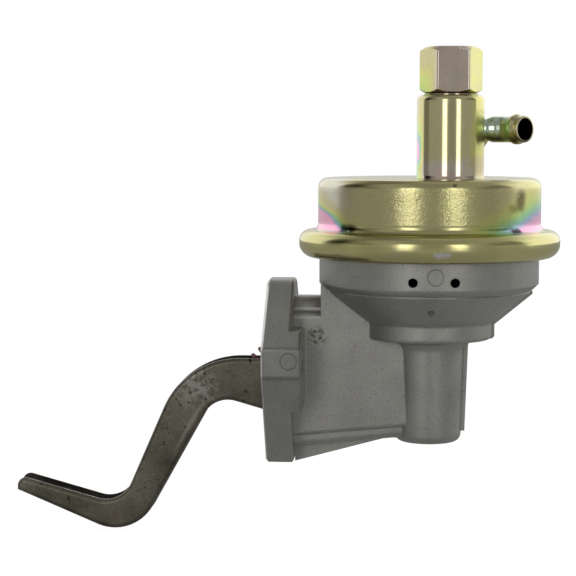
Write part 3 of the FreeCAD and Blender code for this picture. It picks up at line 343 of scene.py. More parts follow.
# %% World
ROOM_LEVEL = 0.42
DARKEST = 0.02
world = bpy.data.worlds.new("pale_room")
scene.world = world
world.use_nodes = True
tree = world.node_tree
tree.nodes.clear()
side, depth, height = axes_of(tree, place(tree, "TexCoord").outputs["Generated"])
on_left = remap(tree, side, 0.0, -0.3)
behind_sides = remap(tree, minus(tree, depth, times(tree, on_left, 0.18)), 0.05, 0.14)
round_camera = remap(tree, depth, 0.0, -0.4)
beside_camera = remap(tree, apart(tree, side, 0.04), 0.5, 0.1)
far_out = remap(tree, calc(tree, "ABSOLUTE", side), 0.6, 0.9)
above_pump = remap(tree, height, 0.08, 0.3)
ROOM_PARTS = (
    # The room is a little darker right around the camera
    (-0.10, times(tree, beside_camera, round_camera)),
    # A dark band closes the room in front at the left
    (-0.20, times(tree, on_left, remap(tree, depth, -0.24, -0.10))),
    # The sides are darker from a little above the pump's own height
    (-0.22, times(tree, remap(tree, depth, 0.35, 0.15), times(tree, far_out, above_pump))),
    # The white backdrop stands behind the sides and ends well below the zenith
    (0.90, times(tree, behind_sides, remap(tree, height, 0.85, 0.45))),
    # Straight behind the pump it is dimmer, which draws a thin dark line along round outlines
    (-0.60, remap(tree, depth, 0.93, 0.985)),
)
level = ROOM_LEVEL
for share, mask in ROOM_PARTS:
    level = plus(tree, level, times(tree, mask, share))


def plain_light(tree, strength):
    """A white world shader of the given strength."""
    made = place(tree, "Background")
    feed(tree, made.inputs["Color"], (1.0, 1.0, 1.0, 1.0))
    feed(tree, made.inputs["Strength"], strength)
    return made.outputs[0]


seen = place(tree, "LightPath").outputs["Is Camera Ray"]
room = plain_light(tree, calc(tree, "MAXIMUM", level, DARKEST))
output = place(tree, "OutputWorld")
tree.links.new(mix_shaders(tree, seen, room, plain_light(tree, 1.0)), output.inputs["Surface"])
print("parts of the room:", len(ROOM_PARTS))

# %% [markdown]
# ## The floor
#
# The pump lies on nothing in the picture, so the floor is only a pale sheet below it. To the
# camera it mostly glows white, and the rest of it is a matt grey that takes the pump's soft
# shadow.

# %% Floor
FLOOR_Z = cad_box[0][2] - 0.001
FLOOR_HALF = 3.0
FLOOR_GREY = 0.62
FLOOR_GLOW = 1.2
GLOW_SHARE = 0.80
floor_mesh = bpy.data.meshes.new("floor")
floor_mesh.from_pydata([(-FLOOR_HALF, -FLOOR_HALF, FLOOR_Z), (FLOOR_HALF, -FLOOR_HALF, FLOOR_Z),
                        (FLOOR_HALF, FLOOR_HALF, FLOOR_Z), (-FLOOR_HALF, FLOOR_HALF, FLOOR_Z)],
                       [], [(0, 1, 2, 3)])
floor = bpy.data.objects.new("floor", floor_mesh)
scene.collection.objects.link(floor)
floor_paint = bpy.data.materials.new("floor_paint")
floor_paint.use_nodes = True
tree = floor_paint.node_tree
tree.nodes.clear()
matt = place(tree, "BsdfDiffuse")
matt.inputs["Color"].default_value = (FLOOR_GREY, FLOOR_GREY, FLOOR_GREY, 1.0)
glow = place(tree, "Emission")
glow.inputs["Strength"].default_value = FLOOR_GLOW
lift = times(tree, place(tree, "LightPath").outputs["Is Camera Ray"], GLOW_SHARE)
output = place(tree, "OutputMaterial")
tree.links.new(mix_shaders(tree, lift, matt.outputs[0], glow.outputs[0]), output.inputs["Surface"])
floor_mesh.materials.append(floor_paint)
print(f"floor at {FLOOR_Z / MM:.1f} mm")

# %% [markdown]
# ## Shared effects as node groups
#
# The cast body, the plated steel and the bare steel all need fine grain, blotches and lighter
# edges, only at other sizes. Each effect is one node group with its own inputs, so the materials
# below stay short. The groups give colours, masks and heights, and the shader itself stays in the
# material.

# %% Group helpers


def new_group(name, inputs, outputs):
    """An empty node group with named float inputs and outputs of the given kinds."""
    group = bpy.data.node_groups.new(name, "ShaderNodeTree")
    for label, default in inputs.items():
        socket = group.interface.new_socket(label, in_out="INPUT", socket_type="NodeSocketFloat")
        socket.default_value = default
    for label, kind in outputs.items():
        group.interface.new_socket(label, in_out="OUTPUT", socket_type=f"NodeSocket{kind}")
    given = group.nodes.new("NodeGroupInput").outputs
    result = group.nodes.new("NodeGroupOutput").inputs
    return group, given, result, place(group, "TexCoord").outputs["Object"]


def use_group(tree, group, **values):
    """Put a group into a material with its own values and give back its outputs."""
    made = tree.nodes.new("ShaderNodeGroup")
    made.node_tree = group
    for label, value in values.items():
        feed(tree, made.inputs[label], value)
    return made.outputs


print("group helpers:", [made.__name__ for made in (new_group, use_group)])

# %% [markdown]
# ## Fine grain
#
# Every metal here has a grain that is too small to model. Two sizes of noise added together give
# a height for the bump, and a slow third one gives a tone for the colour.

# %% Fine grain group
grain, given, result, where = new_group(
    "fine_grain", {"Grains per metre": 1500.0, "Blotches per metre": 60.0},
    {"Height": "Float", "Tone": "Float"})
small = noise(grain, where, given["Grains per metre"], 2.0)
larger = noise(grain, where, times(grain, given["Grains per metre"], 0.4), 2.0)
feed(grain, result["Height"], plus(grain, times(grain, small, 0.6), times(grain, larger, 0.4)))
feed(grain, result["Tone"], noise(grain, where, given["Blotches per metre"], 4.0))
print("fine grain:", len(grain.nodes), "nodes")

# %% [markdown]
# ## Bare edges
#
# Edges rub bright first. A Bevel node gives the normal that a rounded edge would have, and where
# it leaves the true normal there is an edge. Noise breaks the line up, as real wear does.

# %% Bare edge group
worn, given, result, where = new_group(
    "bare_edge", {"Radius": 0.0006, "Amount": 1.0, "Patches per metre": 300.0}, {"Mask": "Float"})
bevel = place(worn, "Bevel", samples=4)
feed(worn, bevel.inputs["Radius"], given["Radius"])
likeness = place(worn, "VectorMath", operation="DOT_PRODUCT")
worn.links.new(bevel.outputs[0], likeness.inputs[0])
worn.links.new(place(worn, "NewGeometry").outputs["Normal"], likeness.inputs[1])
edge = remap(worn, likeness.outputs["Value"], 0.995, 0.90)
broken = remap(worn, noise(worn, where, given["Patches per metre"], 3.0), 0.38, 0.62)
feed(worn, result["Mask"], times(worn, edge, broken, given["Amount"]))
print("bare edge:", len(worn.nodes), "nodes")

# %% [markdown]
# ## The chromate film
#
# Zinc plate is dipped in chromate, which leaves a clear film about as thin as a wavelength of
# light. Its colour depends on its thickness, as on a soap bubble. So the finish is worked out as
# one number, the thickness, and a colour ramp turns it into the tint: silver, gold, green, blue
# and rose.

# %% Chromate film group
film, given, result, where = new_group(
    "chromate_film", {"Thickness": 0.3, "Drift": 0.25, "Flutter": 0.1, "Patches per metre": 45.0},
    {"Colour": "Color"})
slow = noise(film, where, given["Patches per metre"], 2.0, 0.5)
quick = noise(film, where, times(film, given["Patches per metre"], 9.0), 3.0, 0.6)
wander = times(film, minus(film, slow, 0.5), given["Drift"])
flutter = times(film, minus(film, quick, 0.5), given["Flutter"])
feed(film, result["Colour"], ramp(film, plus(film, given["Thickness"], wander, flutter), [
    (0.00, paint(216, 196, 180)),
    (0.09, paint(208, 206, 188)),
    (0.18, paint(208, 198, 160)),
    (0.34, paint(206, 198, 148)),
    (0.48, paint(212, 210, 132)),
    (0.58, paint(196, 214, 130)),
    (0.67, paint(160, 208, 160)),
    (0.75, paint(158, 182, 204)),
    (0.83, paint(236, 176, 206)),
    (0.92, paint(250, 184, 208)),
    (1.00, paint(214, 190, 140)),
]))
print("groups:", [group.name for group in bpy.data.node_groups])

# %% [markdown]
# ## Materials
#
# Each material is one Principled shader whose colour, roughness and bump come from the groups.
# The numbers that don't change over a surface are set on the shader itself. Places on the pump
# are given in millimetres, and every pattern reads Object coordinates, so it stays on its piece
# in any pose.

# %% Material helpers


def new_material(name, metallic, roughness):
    """A material with a Principled shader: itself, its tree, the shader's inputs and the place."""
    material = bpy.data.materials.new(name)
    material.use_nodes = True
    tree = material.node_tree
    tree.nodes.clear()
    shader = place(tree, "BsdfPrincipled")
    shader.inputs["Metallic"].default_value = metallic
    shader.inputs["Roughness"].default_value = roughness
    output = place(tree, "OutputMaterial")
    tree.links.new(shader.outputs[0], output.inputs["Surface"])
    return material, tree, shader.inputs, place(tree, "TexCoord").outputs["Object"]


def bump(tree, height, depth, normal=None):
    """A bump whose strength is full and whose depth is in metres."""
    made = place(tree, "Bump")
    made.inputs["Strength"].default_value = 1.0
    made.inputs["Distance"].default_value = depth
    feed(tree, made.inputs["Height"], height)
    if normal is not None:
        tree.links.new(normal, made.inputs["Normal"])
    return made.outputs["Normal"]


def soft_edges(tree, radius):
    """A normal that rounds sharp edges by a small radius, as tumbling or blasting leaves them."""
    made = place(tree, "Bevel", samples=4)
    made.inputs["Radius"].default_value = radius
    return made.outputs["Normal"]


def tell(material):
    """Say what was made, and pass it on."""
    print(f"{material.name}: {len(material.node_tree.nodes)} nodes")
    return material


print("material helpers:", [made.__name__ for made in (new_material, bump, soft_edges, tell)])

# %% Spots about a point


def distance(tree, where, at_mm):
    """How far a place on the surface is from a point."""
    reach = place(tree, "VectorMath", operation="DISTANCE")
    tree.links.new(where, reach.inputs[0])
    reach.inputs[1].default_value = Vector(at_mm) * MM
    return reach.outputs["Value"]


def spot(tree, where, at_mm, radius_mm, soft=0.4):
    """A round mask about a point, 1 inside the radius and fading out over the soft share of it."""
    return remap(tree, distance(tree, where, at_mm), radius_mm * MM, radius_mm * (1 - soft) * MM)


print("place helpers:", [made.__name__ for made in (distance, spot)])

# %% [markdown]
# ## Cast aluminium
#
# The lower body is a die casting that was blasted with shot: grey and even, with a fine grain,
# pale specks and small dark pits. The mould's ejector pins leave round marks, a thin band along the
# mating face's edge is painted pale, and some dirt has dried in the corner beside the chamber. The
# tip of the ear is darkened as painted shade. Dirt and marks are spots about a point, because a
# spot keeps its place whatever the mesh is.

# %% Cast aluminium
EAR_TIP_Y = -34.6
EAR_DEEP = 16.0
NUB_AT, NUB_R = (61.9, -31.6, 18.3), 1.5
PIN_MARKS = (((10.2, -36.0, 0.6), 3.05), ((63.4, -41.5, 32.0), 2.95))
DIRT_AT, DIRT_R = (19.0, -9.8, 7.5), 5.0
FLANGE_TOP = 26.0


def cast_aluminium():
    """Grey die casting. Each tint lies over those before it, so the dirt hides what is below."""
    material, tree, shader, where = new_material("cast_aluminium", 0.8, 0.42)
    across, deep, up = axes_of(tree, where)
    fine = use_group(tree, grain, **{"Grains per metre": 1700.0, "Blotches per metre": 55.0})
    rubbed = use_group(tree, worn, Radius=0.0007, Amount=0.35)["Mask"]
    speckle = remap(tree, noise(tree, where, 2100.0, 1.0), 0.58, 0.74)
    pits = remap(tree, noise(tree, where, 1300.0, 2.0), 0.42, 0.28)
    # Painted shade: the tip of the ear is darkened.
    painted_ear_shade = times(tree, remap(tree, deep, EAR_TIP_Y * MM, (EAR_TIP_Y - 1) * MM, 0.0, 0.4),
                    remap(tree, across, (EAR_DEEP + 1) * MM, EAR_DEEP * MM))
    body = ramp(tree, fine["Tone"], [(0.25, paint(150, 149, 143)), (0.75, paint(170, 169, 163))])
    body = tint(tree, times(tree, speckle, 0.40), body, 196, 195, 190)
    body = tint(tree, times(tree, pits, 0.35), body, 70, 69, 66)
    body = tint(tree, rubbed, body, 196, 195, 191)
    body = tint(tree, painted_ear_shade, body, 84, 84, 80)
    body = tint(tree, spot(tree, where, NUB_AT, NUB_R, 0.3), body, 100, 99, 95)
    for at, radius in PIN_MARKS:
        off_ring = apart(tree, distance(tree, where, at), radius * MM)
        body = tint(tree, remap(tree, off_ring, 0.22 * MM, 0.05 * MM, 0.0, 0.75), body, 92, 91, 88)
    # A thin band along the mating face's edge is painted pale.
    rim = remap(tree, up, 0.0, FLANGE_TOP * MM, 0.5 * MM, 1.0 * MM)
    mating_edge_band = remap(tree, across, plus(tree, rim, 0.3 * MM), rim)
    body = tint(tree, mating_edge_band, body, 226, 226, 222)
    dirt = times(tree, spot(tree, where, DIRT_AT, DIRT_R, 0.8),
                 remap(tree, noise(tree, where, 700.0, 3.0), 0.46, 0.60))
    body = tint(tree, times(tree, dirt, 0.85), body, 66, 66, 40)
    feed(tree, shader["Base Color"], body)
    feed(tree, shader["Roughness"], remap(tree, fine["Tone"], 0.2, 0.8, 0.37, 0.47, False))
    height = plus(tree, fine["Height"], times(tree, dirt, 2.0))
    feed(tree, shader["Normal"], bump(tree, height, 0.00008, soft_edges(tree, 0.0006)))
    return material


CAST = tell(cast_aluminium())

# %% [markdown]
# ## Plated steel
#
# The cover, the fitting and the nipple share one plating, but the film is not the same on them.
# So one function builds the finish, and two small functions for each piece say how thick the film
# is at a place and what its surface is like there.

# %% Plated steel


def plated_steel(name, thickness_of, texture_of, roughness, peel, drift=0.1, flutter=0.1,
                 patches=45.0, marks=()):
    """Zinc plate under a yellow chromate film whose thickness is worked out from the place.

    The texture at a place is an extra roughness, how strongly it is pebbled, how dark it is made
    by painted shade and how pale the film is. Each mark is a stain, a nick, a painted dark
    reflection or a painted highlight: its place, its radius, its colour and how strong it is. Peel
    is the depth of the bump in metres.
    """
    material, tree, shader, where = new_material(name, 1.0, roughness)
    coat = use_group(tree, film, Thickness=thickness_of(tree, where), Drift=drift, Flutter=flutter,
                     **{"Patches per metre": patches})
    extra, pebbled, painted_shade, pale = texture_of(tree, where)
    fine = use_group(tree, grain, **{"Grains per metre": 1500.0, "Blotches per metre": 90.0})
    rubbed = use_group(tree, worn, Radius=0.0003, Amount=0.3)["Mask"]
    specks = remap(tree, noise(tree, where, 1500.0, 2.0), 0.64, 0.72)
    body = tint(tree, pale, coat["Colour"], 206, 208, 198)
    body = tint(tree, rubbed, body, 226, 222, 206)
    body = tint(tree, times(tree, specks, 0.3), body, 120, 108, 74)
    # Painted shade: the fitting's groove, the nipple's bore and underside and the cover's front are
    # darkened here.
    body = tint(tree, painted_shade, body, 14, 13, 10)
    ragged = remap(tree, noise(tree, where, 700.0, 3.0, 0.6), 0.30, 0.46)
    for at, radius, colour, amount in marks:
        shape = times(tree, spot(tree, where, at, radius, 1.0), ragged)
        body = tint(tree, times(tree, shape, amount), body, *colour)
    feed(tree, shader["Base Color"], body)
    dull = remap(tree, fine["Tone"], 0.2, 0.8, roughness - 0.03, roughness + 0.05, False)
    feed(tree, shader["Roughness"], plus(tree, dull, extra))
    waves = noise(tree, where, 420.0, 2.0, 0.5)
    strong = plus(tree, times(tree, fine["Height"], 1.9), waves)
    height = slide(tree, pebbled, times(tree, waves, 0.3), strong)
    feed(tree, shader["Normal"], bump(tree, height, peel))
    return material


print("plated steel takes its tint from the group", film.name)

# %% [markdown]
# ## The plating of the cover
#
# In front the film is an even gold. Low on the wall at both sides it turns through yellow, green
# and blue to rose, as such films do where the solution dried last. The upright wall is pebbled
# from the press, and its front is painted darker as shade. A brown stain and a nick are marked on
# it, dark reflections are painted low on the wall at both sides and highlights are painted on the
# bead's knock. Each such mark is a row of small ragged spots, because one large round spot would
# look painted on.

# %% Cover plating
GOLD = 0.38


def cover_thickness(tree, where):
    """Thickness falls with the way up from the wall's foot plus the way in from the pump's side.

    The rose reaches further in on the left, and the tints lie closer together there. High on the
    left the film is paler. The sum counts only above the bead's shoulder, and the bead is gold.
    """
    across, _, up = axes_of(tree, where)
    off = minus(tree, across, PUMP_X * MM)
    inward = minus(tree, COVER_R * MM, calc(tree, "ABSOLUTE", off))
    above = minus(tree, up, SHOULDER_TOP * MM)
    right = remap(tree, off, -20 * MM, 20 * MM)
    steep = remap(tree, right, 0.0, 1.0, 1.05, 0.62, False)
    away = plus(tree, times(tree, inward, steep), calc(tree, "MAXIMUM", above, 0.0))
    rose_to = remap(tree, right, 0.0, 1.0, 9.5 * MM, 3.5 * MM, False)
    band = remap(tree, right, 0.0, 1.0, 9.0 * MM, 18.0 * MM, False)
    thickness = remap(tree, away, rose_to, plus(tree, rose_to, band), 0.90, 0.36, False)
    pale = times(tree, remap(tree, off, -24 * MM, -34 * MM), remap(tree, above, 6 * MM, 10 * MM))
    thickness = minus(tree, thickness, times(tree, pale, 0.24))
    return slide(tree, remap(tree, above, -0.1 * MM, 0.7 * MM), GOLD, thickness)


def cover_texture(tree, where):
    """Pebbled on the front of the upright wall, duller at its sides, and painted shade in front."""
    across, _, up = axes_of(tree, where)
    front = remap(tree, apart(tree, across, PUMP_X * MM), 27 * MM, 22 * MM)
    above_foot = remap(tree, up, 49.8 * MM, 50.8 * MM)
    wall = times(tree, above_foot, remap(tree, up, 64.8 * MM, 63.2 * MM))
    pebbled = times(tree, wall, front)
    extra = plus(tree, times(tree, minus(tree, wall, pebbled), 0.10), times(tree, pebbled, 0.04))
    # Painted shade: the front of the cover is darkened.
    return extra, pebbled, times(tree, front, 0.13), 0.0


print("film thickness of the gold:", GOLD)

# %% Marks on the cover
BLACK, PAINTED_GLINT, BROWN = (26, 24, 20), (222, 220, 226), (112, 104, 74)


def round_the_cover(radius, height, bearings, size, colour, amount):
    """A row of small marks at one radius and height of the cover, which make one long mark."""
    turns = np.radians(bearings)
    return [((PUMP_X + radius * math.cos(turn), radius * math.sin(turn), height),
             size, colour, amount) for turn in turns]


MARKS_AND_PAINTED_LIGHT = (
    # Painted dark reflections low on the wall, at the left and at the right
    (42.1, 48.6, (-138.0, -136.2, -134.4, -132.6, -130.8), 2.8, BLACK, 0.9),
    (42.6, 47.9, (-44.5, -43.0, -41.5, -40.0), 2.2, BLACK, 0.9),
    # Painted highlights on the bead's knock
    (49.0, 40.6, (-87.4, -84.8, -81.9), 1.5, PAINTED_GLINT, 0.8),
    (48.9, 40.0, (-85.9, -83.1), 1.9, PAINTED_GLINT, 0.9),
    (47.4, 36.8, (-84.6, -83.4, -82.2), 1.4, PAINTED_GLINT, 0.9),
    # A brown stain on the wall
    (42.0, 60.6, (-38.6, -36.6), 4.0, BROWN, 0.8),
    (42.0, 57.6, (-39.4, -37.2), 4.0, BROWN, 0.8),
    (42.0, 56.2, (-45.0, -42.6), 2.4, BROWN, 0.6),
    # A nick at the top edge
    (41.6, 65.0, (-77.6,), 1.2, BLACK, 0.9),
)
COVER_PLATE = tell(plated_steel(
    "cover_plate", cover_thickness, cover_texture, 0.18, 0.00006, drift=0.18,
    marks=[mark for mark_row in MARKS_AND_PAINTED_LIGHT for mark in round_the_cover(*mark_row)]))

# %% [markdown]
# ## The plating of the fitting
#
# The turned fitting is smoother than the cover, so it works as a mirror. Its film is gold above
# and rose at the foot. The left side turns green towards the foot, the right side is yellow, and
# the hexagon's front flat has a thin film that looks mauve.

# %% Fitting plating


def hexagon_zone(tree, where):
    """All of the fitting above the groove."""
    return remap(tree, axes_of(tree, where)[2], (HEX_LOW - 0.5) * MM, HEX_LOW * MM)


def fitting_thickness(tree, where):
    """The gold's thickness plus a share for the foot, each side and two of the hexagon's flats."""
    across, _, up = axes_of(tree, where)
    hexagon = hexagon_zone(tree, where)
    foot = remap(tree, up, 78 * MM, 68 * MM, 0.0, -0.30)
    left = times(tree, remap(tree, across, (FIT_X - 9.5) * MM, (FIT_X - 12.3) * MM, 0.0, 0.62),
                 remap(tree, up, 96 * MM, 74 * MM))
    left_flat = remap(tree, across, (FIT_X - 6.0) * MM, (FIT_X - 8.5) * MM, 0.0, 0.26)
    left_flat = times(tree, left_flat, times(tree, hexagon, remap(tree, up, 113 * MM, 101 * MM)))
    right = remap(tree, across, (FIT_X + 6.2) * MM, (FIT_X + 8.2) * MM, 0.0, 0.14)
    off_middle = apart(tree, across, (FIT_X + 0.4) * MM)
    front = times(tree, hexagon, remap(tree, off_middle, 6.6 * MM, 6.0 * MM, 0.0, -0.30))
    return plus(tree, 0.30, foot, plus(tree, left, left_flat), right, front)


def fitting_texture(tree, where):
    """Duller on the hexagon and at the right, where the tube is brazed, and painted shade in the
    groove.
    """
    across, _, up = axes_of(tree, where)
    hexagon = hexagon_zone(tree, where)
    brazed = times(tree, remap(tree, across, (FIT_X + 8.6) * MM, (FIT_X + 9.4) * MM),
                   remap(tree, up, 94 * MM, 91 * MM))
    # Painted shade: the groove is darkened.
    groove_shade = remap(tree, apart(tree, up, (HEX_LOW - 0.2) * MM), 0.7 * MM, 0.2 * MM, 0.0, 0.45)
    return plus(tree, times(tree, brazed, 0.16), times(tree, hexagon, 0.05)), hexagon, groove_shade, 0.0


FITTING_PLATE = tell(plated_steel(
    "fitting_plate", fitting_thickness, fitting_texture, 0.13, 0.000012,
    flutter=0.4, patches=70.0))

# %% [markdown]
# ## The plating of the nipple
#
# The tube was heated when it was brazed on, and its film is green and blue with quick patches,
# but thin and brown-gold on the hose bead. Its bore is painted black as shade: everything near the
# hose end's own axis is darkened as deep as the bend. Its underside is darkened as painted shade
# too.

# %% Nipple plating
HOSE_END = (FIT_X + 27.5, FIT_Y - 4.4, NIPPLE_Z)
HOSE_WAY = (math.sqrt(0.5), -math.sqrt(0.5), 0.0)


def nipple_thickness(tree, where):
    """Green and blue along the tube, thin and brown-gold on the hose bead."""
    across = axes_of(tree, where)[0]
    return remap(tree, across, (FIT_X + 21.0) * MM, (FIT_X + 22.5) * MM, 0.66, 0.24)


def nipple_texture(tree, where):
    """Painted shade inside the hose end, which is black, and underneath; paler behind the hose bead.

    The hose end's axis points 45 degrees to the front. The distance from it is the length of the
    cross product of that direction and the way from the end's middle.
    """
    way = place(tree, "VectorMath", operation="SUBTRACT")
    tree.links.new(where, way.inputs[0])
    way.inputs[1].default_value = Vector(HOSE_END) * MM
    along = place(tree, "VectorMath", operation="DOT_PRODUCT")
    beside = place(tree, "VectorMath", operation="CROSS_PRODUCT")
    for made in (along, beside):
        tree.links.new(way.outputs[0], made.inputs[0])
        made.inputs[1].default_value = HOSE_WAY
    off = place(tree, "VectorMath", operation="LENGTH")
    tree.links.new(beside.outputs[0], off.inputs[0])
    # Painted shade: the bore is darkened to black.
    bore = times(tree, remap(tree, off.outputs["Value"], 4.35 * MM, 4.1 * MM),
                 remap(tree, along.outputs["Value"], -8.5 * MM, -8.0 * MM))
    # Painted shade: the underside is darkened.
    under = remap(tree, axes_of(tree, where)[2], 83.4 * MM, 81.4 * MM, 0.0, 0.7)
    pale = remap(tree, along.outputs["Value"], -6.4 * MM, -5.6 * MM, 0.65, 0.0)
    return 0.0, 0.0, calc(tree, "MAXIMUM", bore, under), pale


NIPPLE_PLATE = tell(plated_steel("nipple_plate", nipple_thickness, nipple_texture, 0.16, 0.00001,
                                 drift=0.25, patches=160.0))

# %% [markdown]
# ## Arm steel
#
# The arm is stamped and never plated: dull, brown-grey and oily. Its outer bend is scuffed pale,
# a fainter scuff runs down along the closed side, and its edges have rubbed bright. The channel's
# inside is painted nearly black, and the far cheek's upper edge is brown.

# %% Arm steel
BEND_AT, BEND_SPOT_R = (-26.3, -6.5, -13.2), 12.0
SCUFF_ACROSS, SCUFF_UP, SCUFF_OFF = 0.870, 0.491, -12.31
CHEEK_IN, CHEEK_OUT = 4.6, 6.4


def arm_steel():
    """Dull stamped steel with a brown cast, scuffs along it, pits and bright worn edges.

    The long scuff is the band about a straight line in the side view. The distance from that line
    is 0.870 times the place across less 0.491 times the place up, less the line's own value of it.
    """
    material, tree, shader, where = new_material("arm_steel", 0.85, 0.42)
    across, deep, up = axes_of(tree, where)
    fine = use_group(tree, grain, **{"Grains per metre": 1100.0, "Blotches per metre": 60.0})
    rubbed = use_group(tree, worn, Radius=0.0009, Amount=1.0)["Mask"]
    body = ramp(tree, fine["Tone"], [(0.30, paint(80, 76, 65)), (0.50, paint(106, 102, 89)),
                                     (0.72, paint(126, 122, 108))])
    speckle = remap(tree, noise(tree, where, 1500.0, 2.0), 0.35, 0.65, 0.82, 1.12)
    body = blend_colour(tree, 1.0, body, speckle, "MULTIPLY")
    rust = remap(tree, noise(tree, where, 150.0, 3.0), 0.58, 0.72, 0.0, 0.45)
    body = tint(tree, rust, body, 98, 76, 52)
    worn_bend = times(tree, spot(tree, where, BEND_AT, BEND_SPOT_R, 0.9),
                      remap(tree, noise(tree, where, 420.0, 4.0, 0.7), 0.42, 0.60))
    on_line = minus(tree, times(tree, across, SCUFF_ACROSS), times(tree, up, SCUFF_UP))
    from_line = apart(tree, on_line, SCUFF_OFF * MM)
    part_way = times(tree, remap(tree, up, -40 * MM, -32 * MM),
                     remap(tree, up, -16 * MM, -22 * MM))
    long_scuff = times(tree, remap(tree, from_line, 0.9 * MM, 0.2 * MM, 0.0, 0.55), part_way)
    scuffed = times(tree, calc(tree, "MAXIMUM", worn_bend, long_scuff), 0.5)
    body = tint(tree, scuffed, body, 182, 180, 172)
    pits = remap(tree, noise(tree, where, 520.0, 2.0), 0.35, 0.27)
    body = tint(tree, times(tree, pits, 0.85), body, 24, 22, 18)
    body = tint(tree, rubbed, body, 228, 226, 218)
    # The inside of the channel is painted nearly black.
    off_middle = calc(tree, "ABSOLUTE", deep)
    inside = remap(tree, off_middle, (CHEEK_IN + 0.15) * MM, (CHEEK_IN - 0.05) * MM)
    body = tint(tree, inside, body, 30, 26, 22)
    far_edge = times(tree, remap(tree, deep, CHEEK_IN * MM, (CHEEK_IN + 0.2) * MM),
                     remap(tree, deep, CHEEK_OUT * MM, (CHEEK_OUT - 0.2) * MM))
    body = tint(tree, times(tree, far_edge, 0.85), body, 186, 140, 104)
    feed(tree, shader["Base Color"], body)
    feed(tree, shader["Roughness"], remap(tree, fine["Tone"], 0.2, 0.8, 0.34, 0.5, False))
    feed(tree, shader["Normal"], bump(tree, fine["Height"], 0.00003, soft_edges(tree, 0.0004)))
    return material


ARM = tell(arm_steel())

# %% [markdown]
# ## Red spring wire
#
# The return spring is marked with red paint, which is thin and has chipped. Where it is gone, the
# same mask makes the surface metal and pale.

# %% Red wire


def red_wire():
    """Spring wire in dark red paint that has rubbed through to the steel in places."""
    material, tree, shader, where = new_material("red_wire", 0.0, 0.45)
    chips = remap(tree, noise(tree, where, 900.0, 3.0), 0.62, 0.66)
    feed(tree, shader["Base Color"], tint(tree, chips, (*paint(104, 10, 12), 1.0), 200, 190, 184))
    feed(tree, shader["Metallic"], chips)
    shader["Coat Weight"].default_value = 0.1
    return material


RED = tell(red_wire())

# %% [markdown]
# ## Plain finishes for the pieces inside
#
# Nothing inside shows until the pump is opened or made see-through, so two plain finishes do:
# bare metal with a grain, and matt rubber or moulding with a weave. Each has its own colour.

# %% Plain finishes


def plain_metal(name, colour, roughness=0.35, grains=1200.0):
    """Turned or stamped bare metal with fine grain: the colour and a darker tone of it."""
    material, tree, shader, _ = new_material(name, 1.0, roughness)
    fine = use_group(tree, grain, **{"Grains per metre": grains, "Blotches per metre": 120.0})
    darker = tuple(part * 0.72 for part in colour)
    feed(tree, shader["Base Color"], ramp(tree, fine["Tone"], [(0.3, darker), (0.7, colour)]))
    feed(tree, shader["Normal"], bump(tree, fine["Height"], 0.00002))
    return tell(material)


def soft_part(name, colour, roughness=0.6):
    """Rubbered fabric, seals and moulded valve discs: matt, with a fine weave or pebble."""
    material, tree, shader, _ = new_material(name, 0.0, roughness)
    fine = use_group(tree, grain, **{"Grains per metre": 2200.0, "Blotches per metre": 200.0})
    lighter = tuple(min(part * 1.5 + 0.01, 1.0) for part in colour)
    feed(tree, shader["Base Color"], ramp(tree, fine["Tone"], [(0.3, colour), (0.7, lighter)]))
    feed(tree, shader["Normal"], bump(tree, fine["Height"], 0.00004))
    return tell(material)


STEEL = plain_metal("plain_steel", paint(170, 168, 164))
SPRING_STEEL = plain_metal("spring_steel", paint(140, 138, 134), 0.3)
BRASS = plain_metal("brass", paint(206, 172, 104), 0.3)
VALVE_ZINC = plain_metal("valve_zinc", paint(160, 160, 158), 0.5, 900.0)
RUBBER = soft_part("rubber_fabric", paint(38, 36, 36))
VALVE_PLASTIC = soft_part("valve_plastic", paint(120, 92, 60), 0.4)

# %% [markdown]
# ## Surfaces from numpy
#
# A turned piece is a half outline carried round an axis, and the spring is a circle carried along
# a helix. Both are grids of points, so one function builds every new mesh: it joins neighbouring
# points of the grid with quads, closes the wrapped sides and merges the points that fall together
# at a pole.

# %% Outlines


def rounded(corners, arc_points=9):
    """Corner points (a, b) or (a, b, radius) as one line, each rounded corner a run of arc points.

    An arc's points are its centre plus the radius times a direction that swings evenly from one
    tangent point to the other.
    """
    points = np.array([corner[:2] for corner in corners], float)
    out = []
    for i, corner in enumerate(corners):
        here = points[i]
        if len(corner) < 3:
            out.append(here[None, :])
            continue
        before = points[i - 1] - here
        after = points[(i + 1) % len(points)] - here
        before /= np.linalg.norm(before)
        after /= np.linalg.norm(after)
        half = math.acos(np.clip(before @ after, -1, 1)) / 2
        inwards = (before + after) / np.linalg.norm(before + after)
        centre = here + inwards * corner[2] / math.sin(half)
        start = here + before * corner[2] / math.tan(half) - centre
        end = here + after * corner[2] / math.tan(half) - centre
        first = math.atan2(start[1], start[0])
        swing = math.atan2(start[0] * end[1] - start[1] * end[0], start @ end)
        angle = first + swing * np.linspace(0, 1, arc_points)
        out.append(centre + corner[2] * np.stack([np.cos(angle), np.sin(angle)], axis=1))
    return np.concatenate(out)


def finer(line, longest):
    """The same line with extra points, so that no run is longer than the given length."""
    parts = []
    for start, end in zip(line[:-1], line[1:]):
        count = max(1, int(math.ceil(np.linalg.norm(end - start) / longest)))
        parts.append(start + (end - start) * np.arange(count)[:, None] / count)
    parts.append(line[-1:])
    return np.concatenate(parts)


print("points on a rounded corner:", len(rounded([(0, 0), (4, 0, 1), (4, 4)])) - 2)

# %% Grid meshes


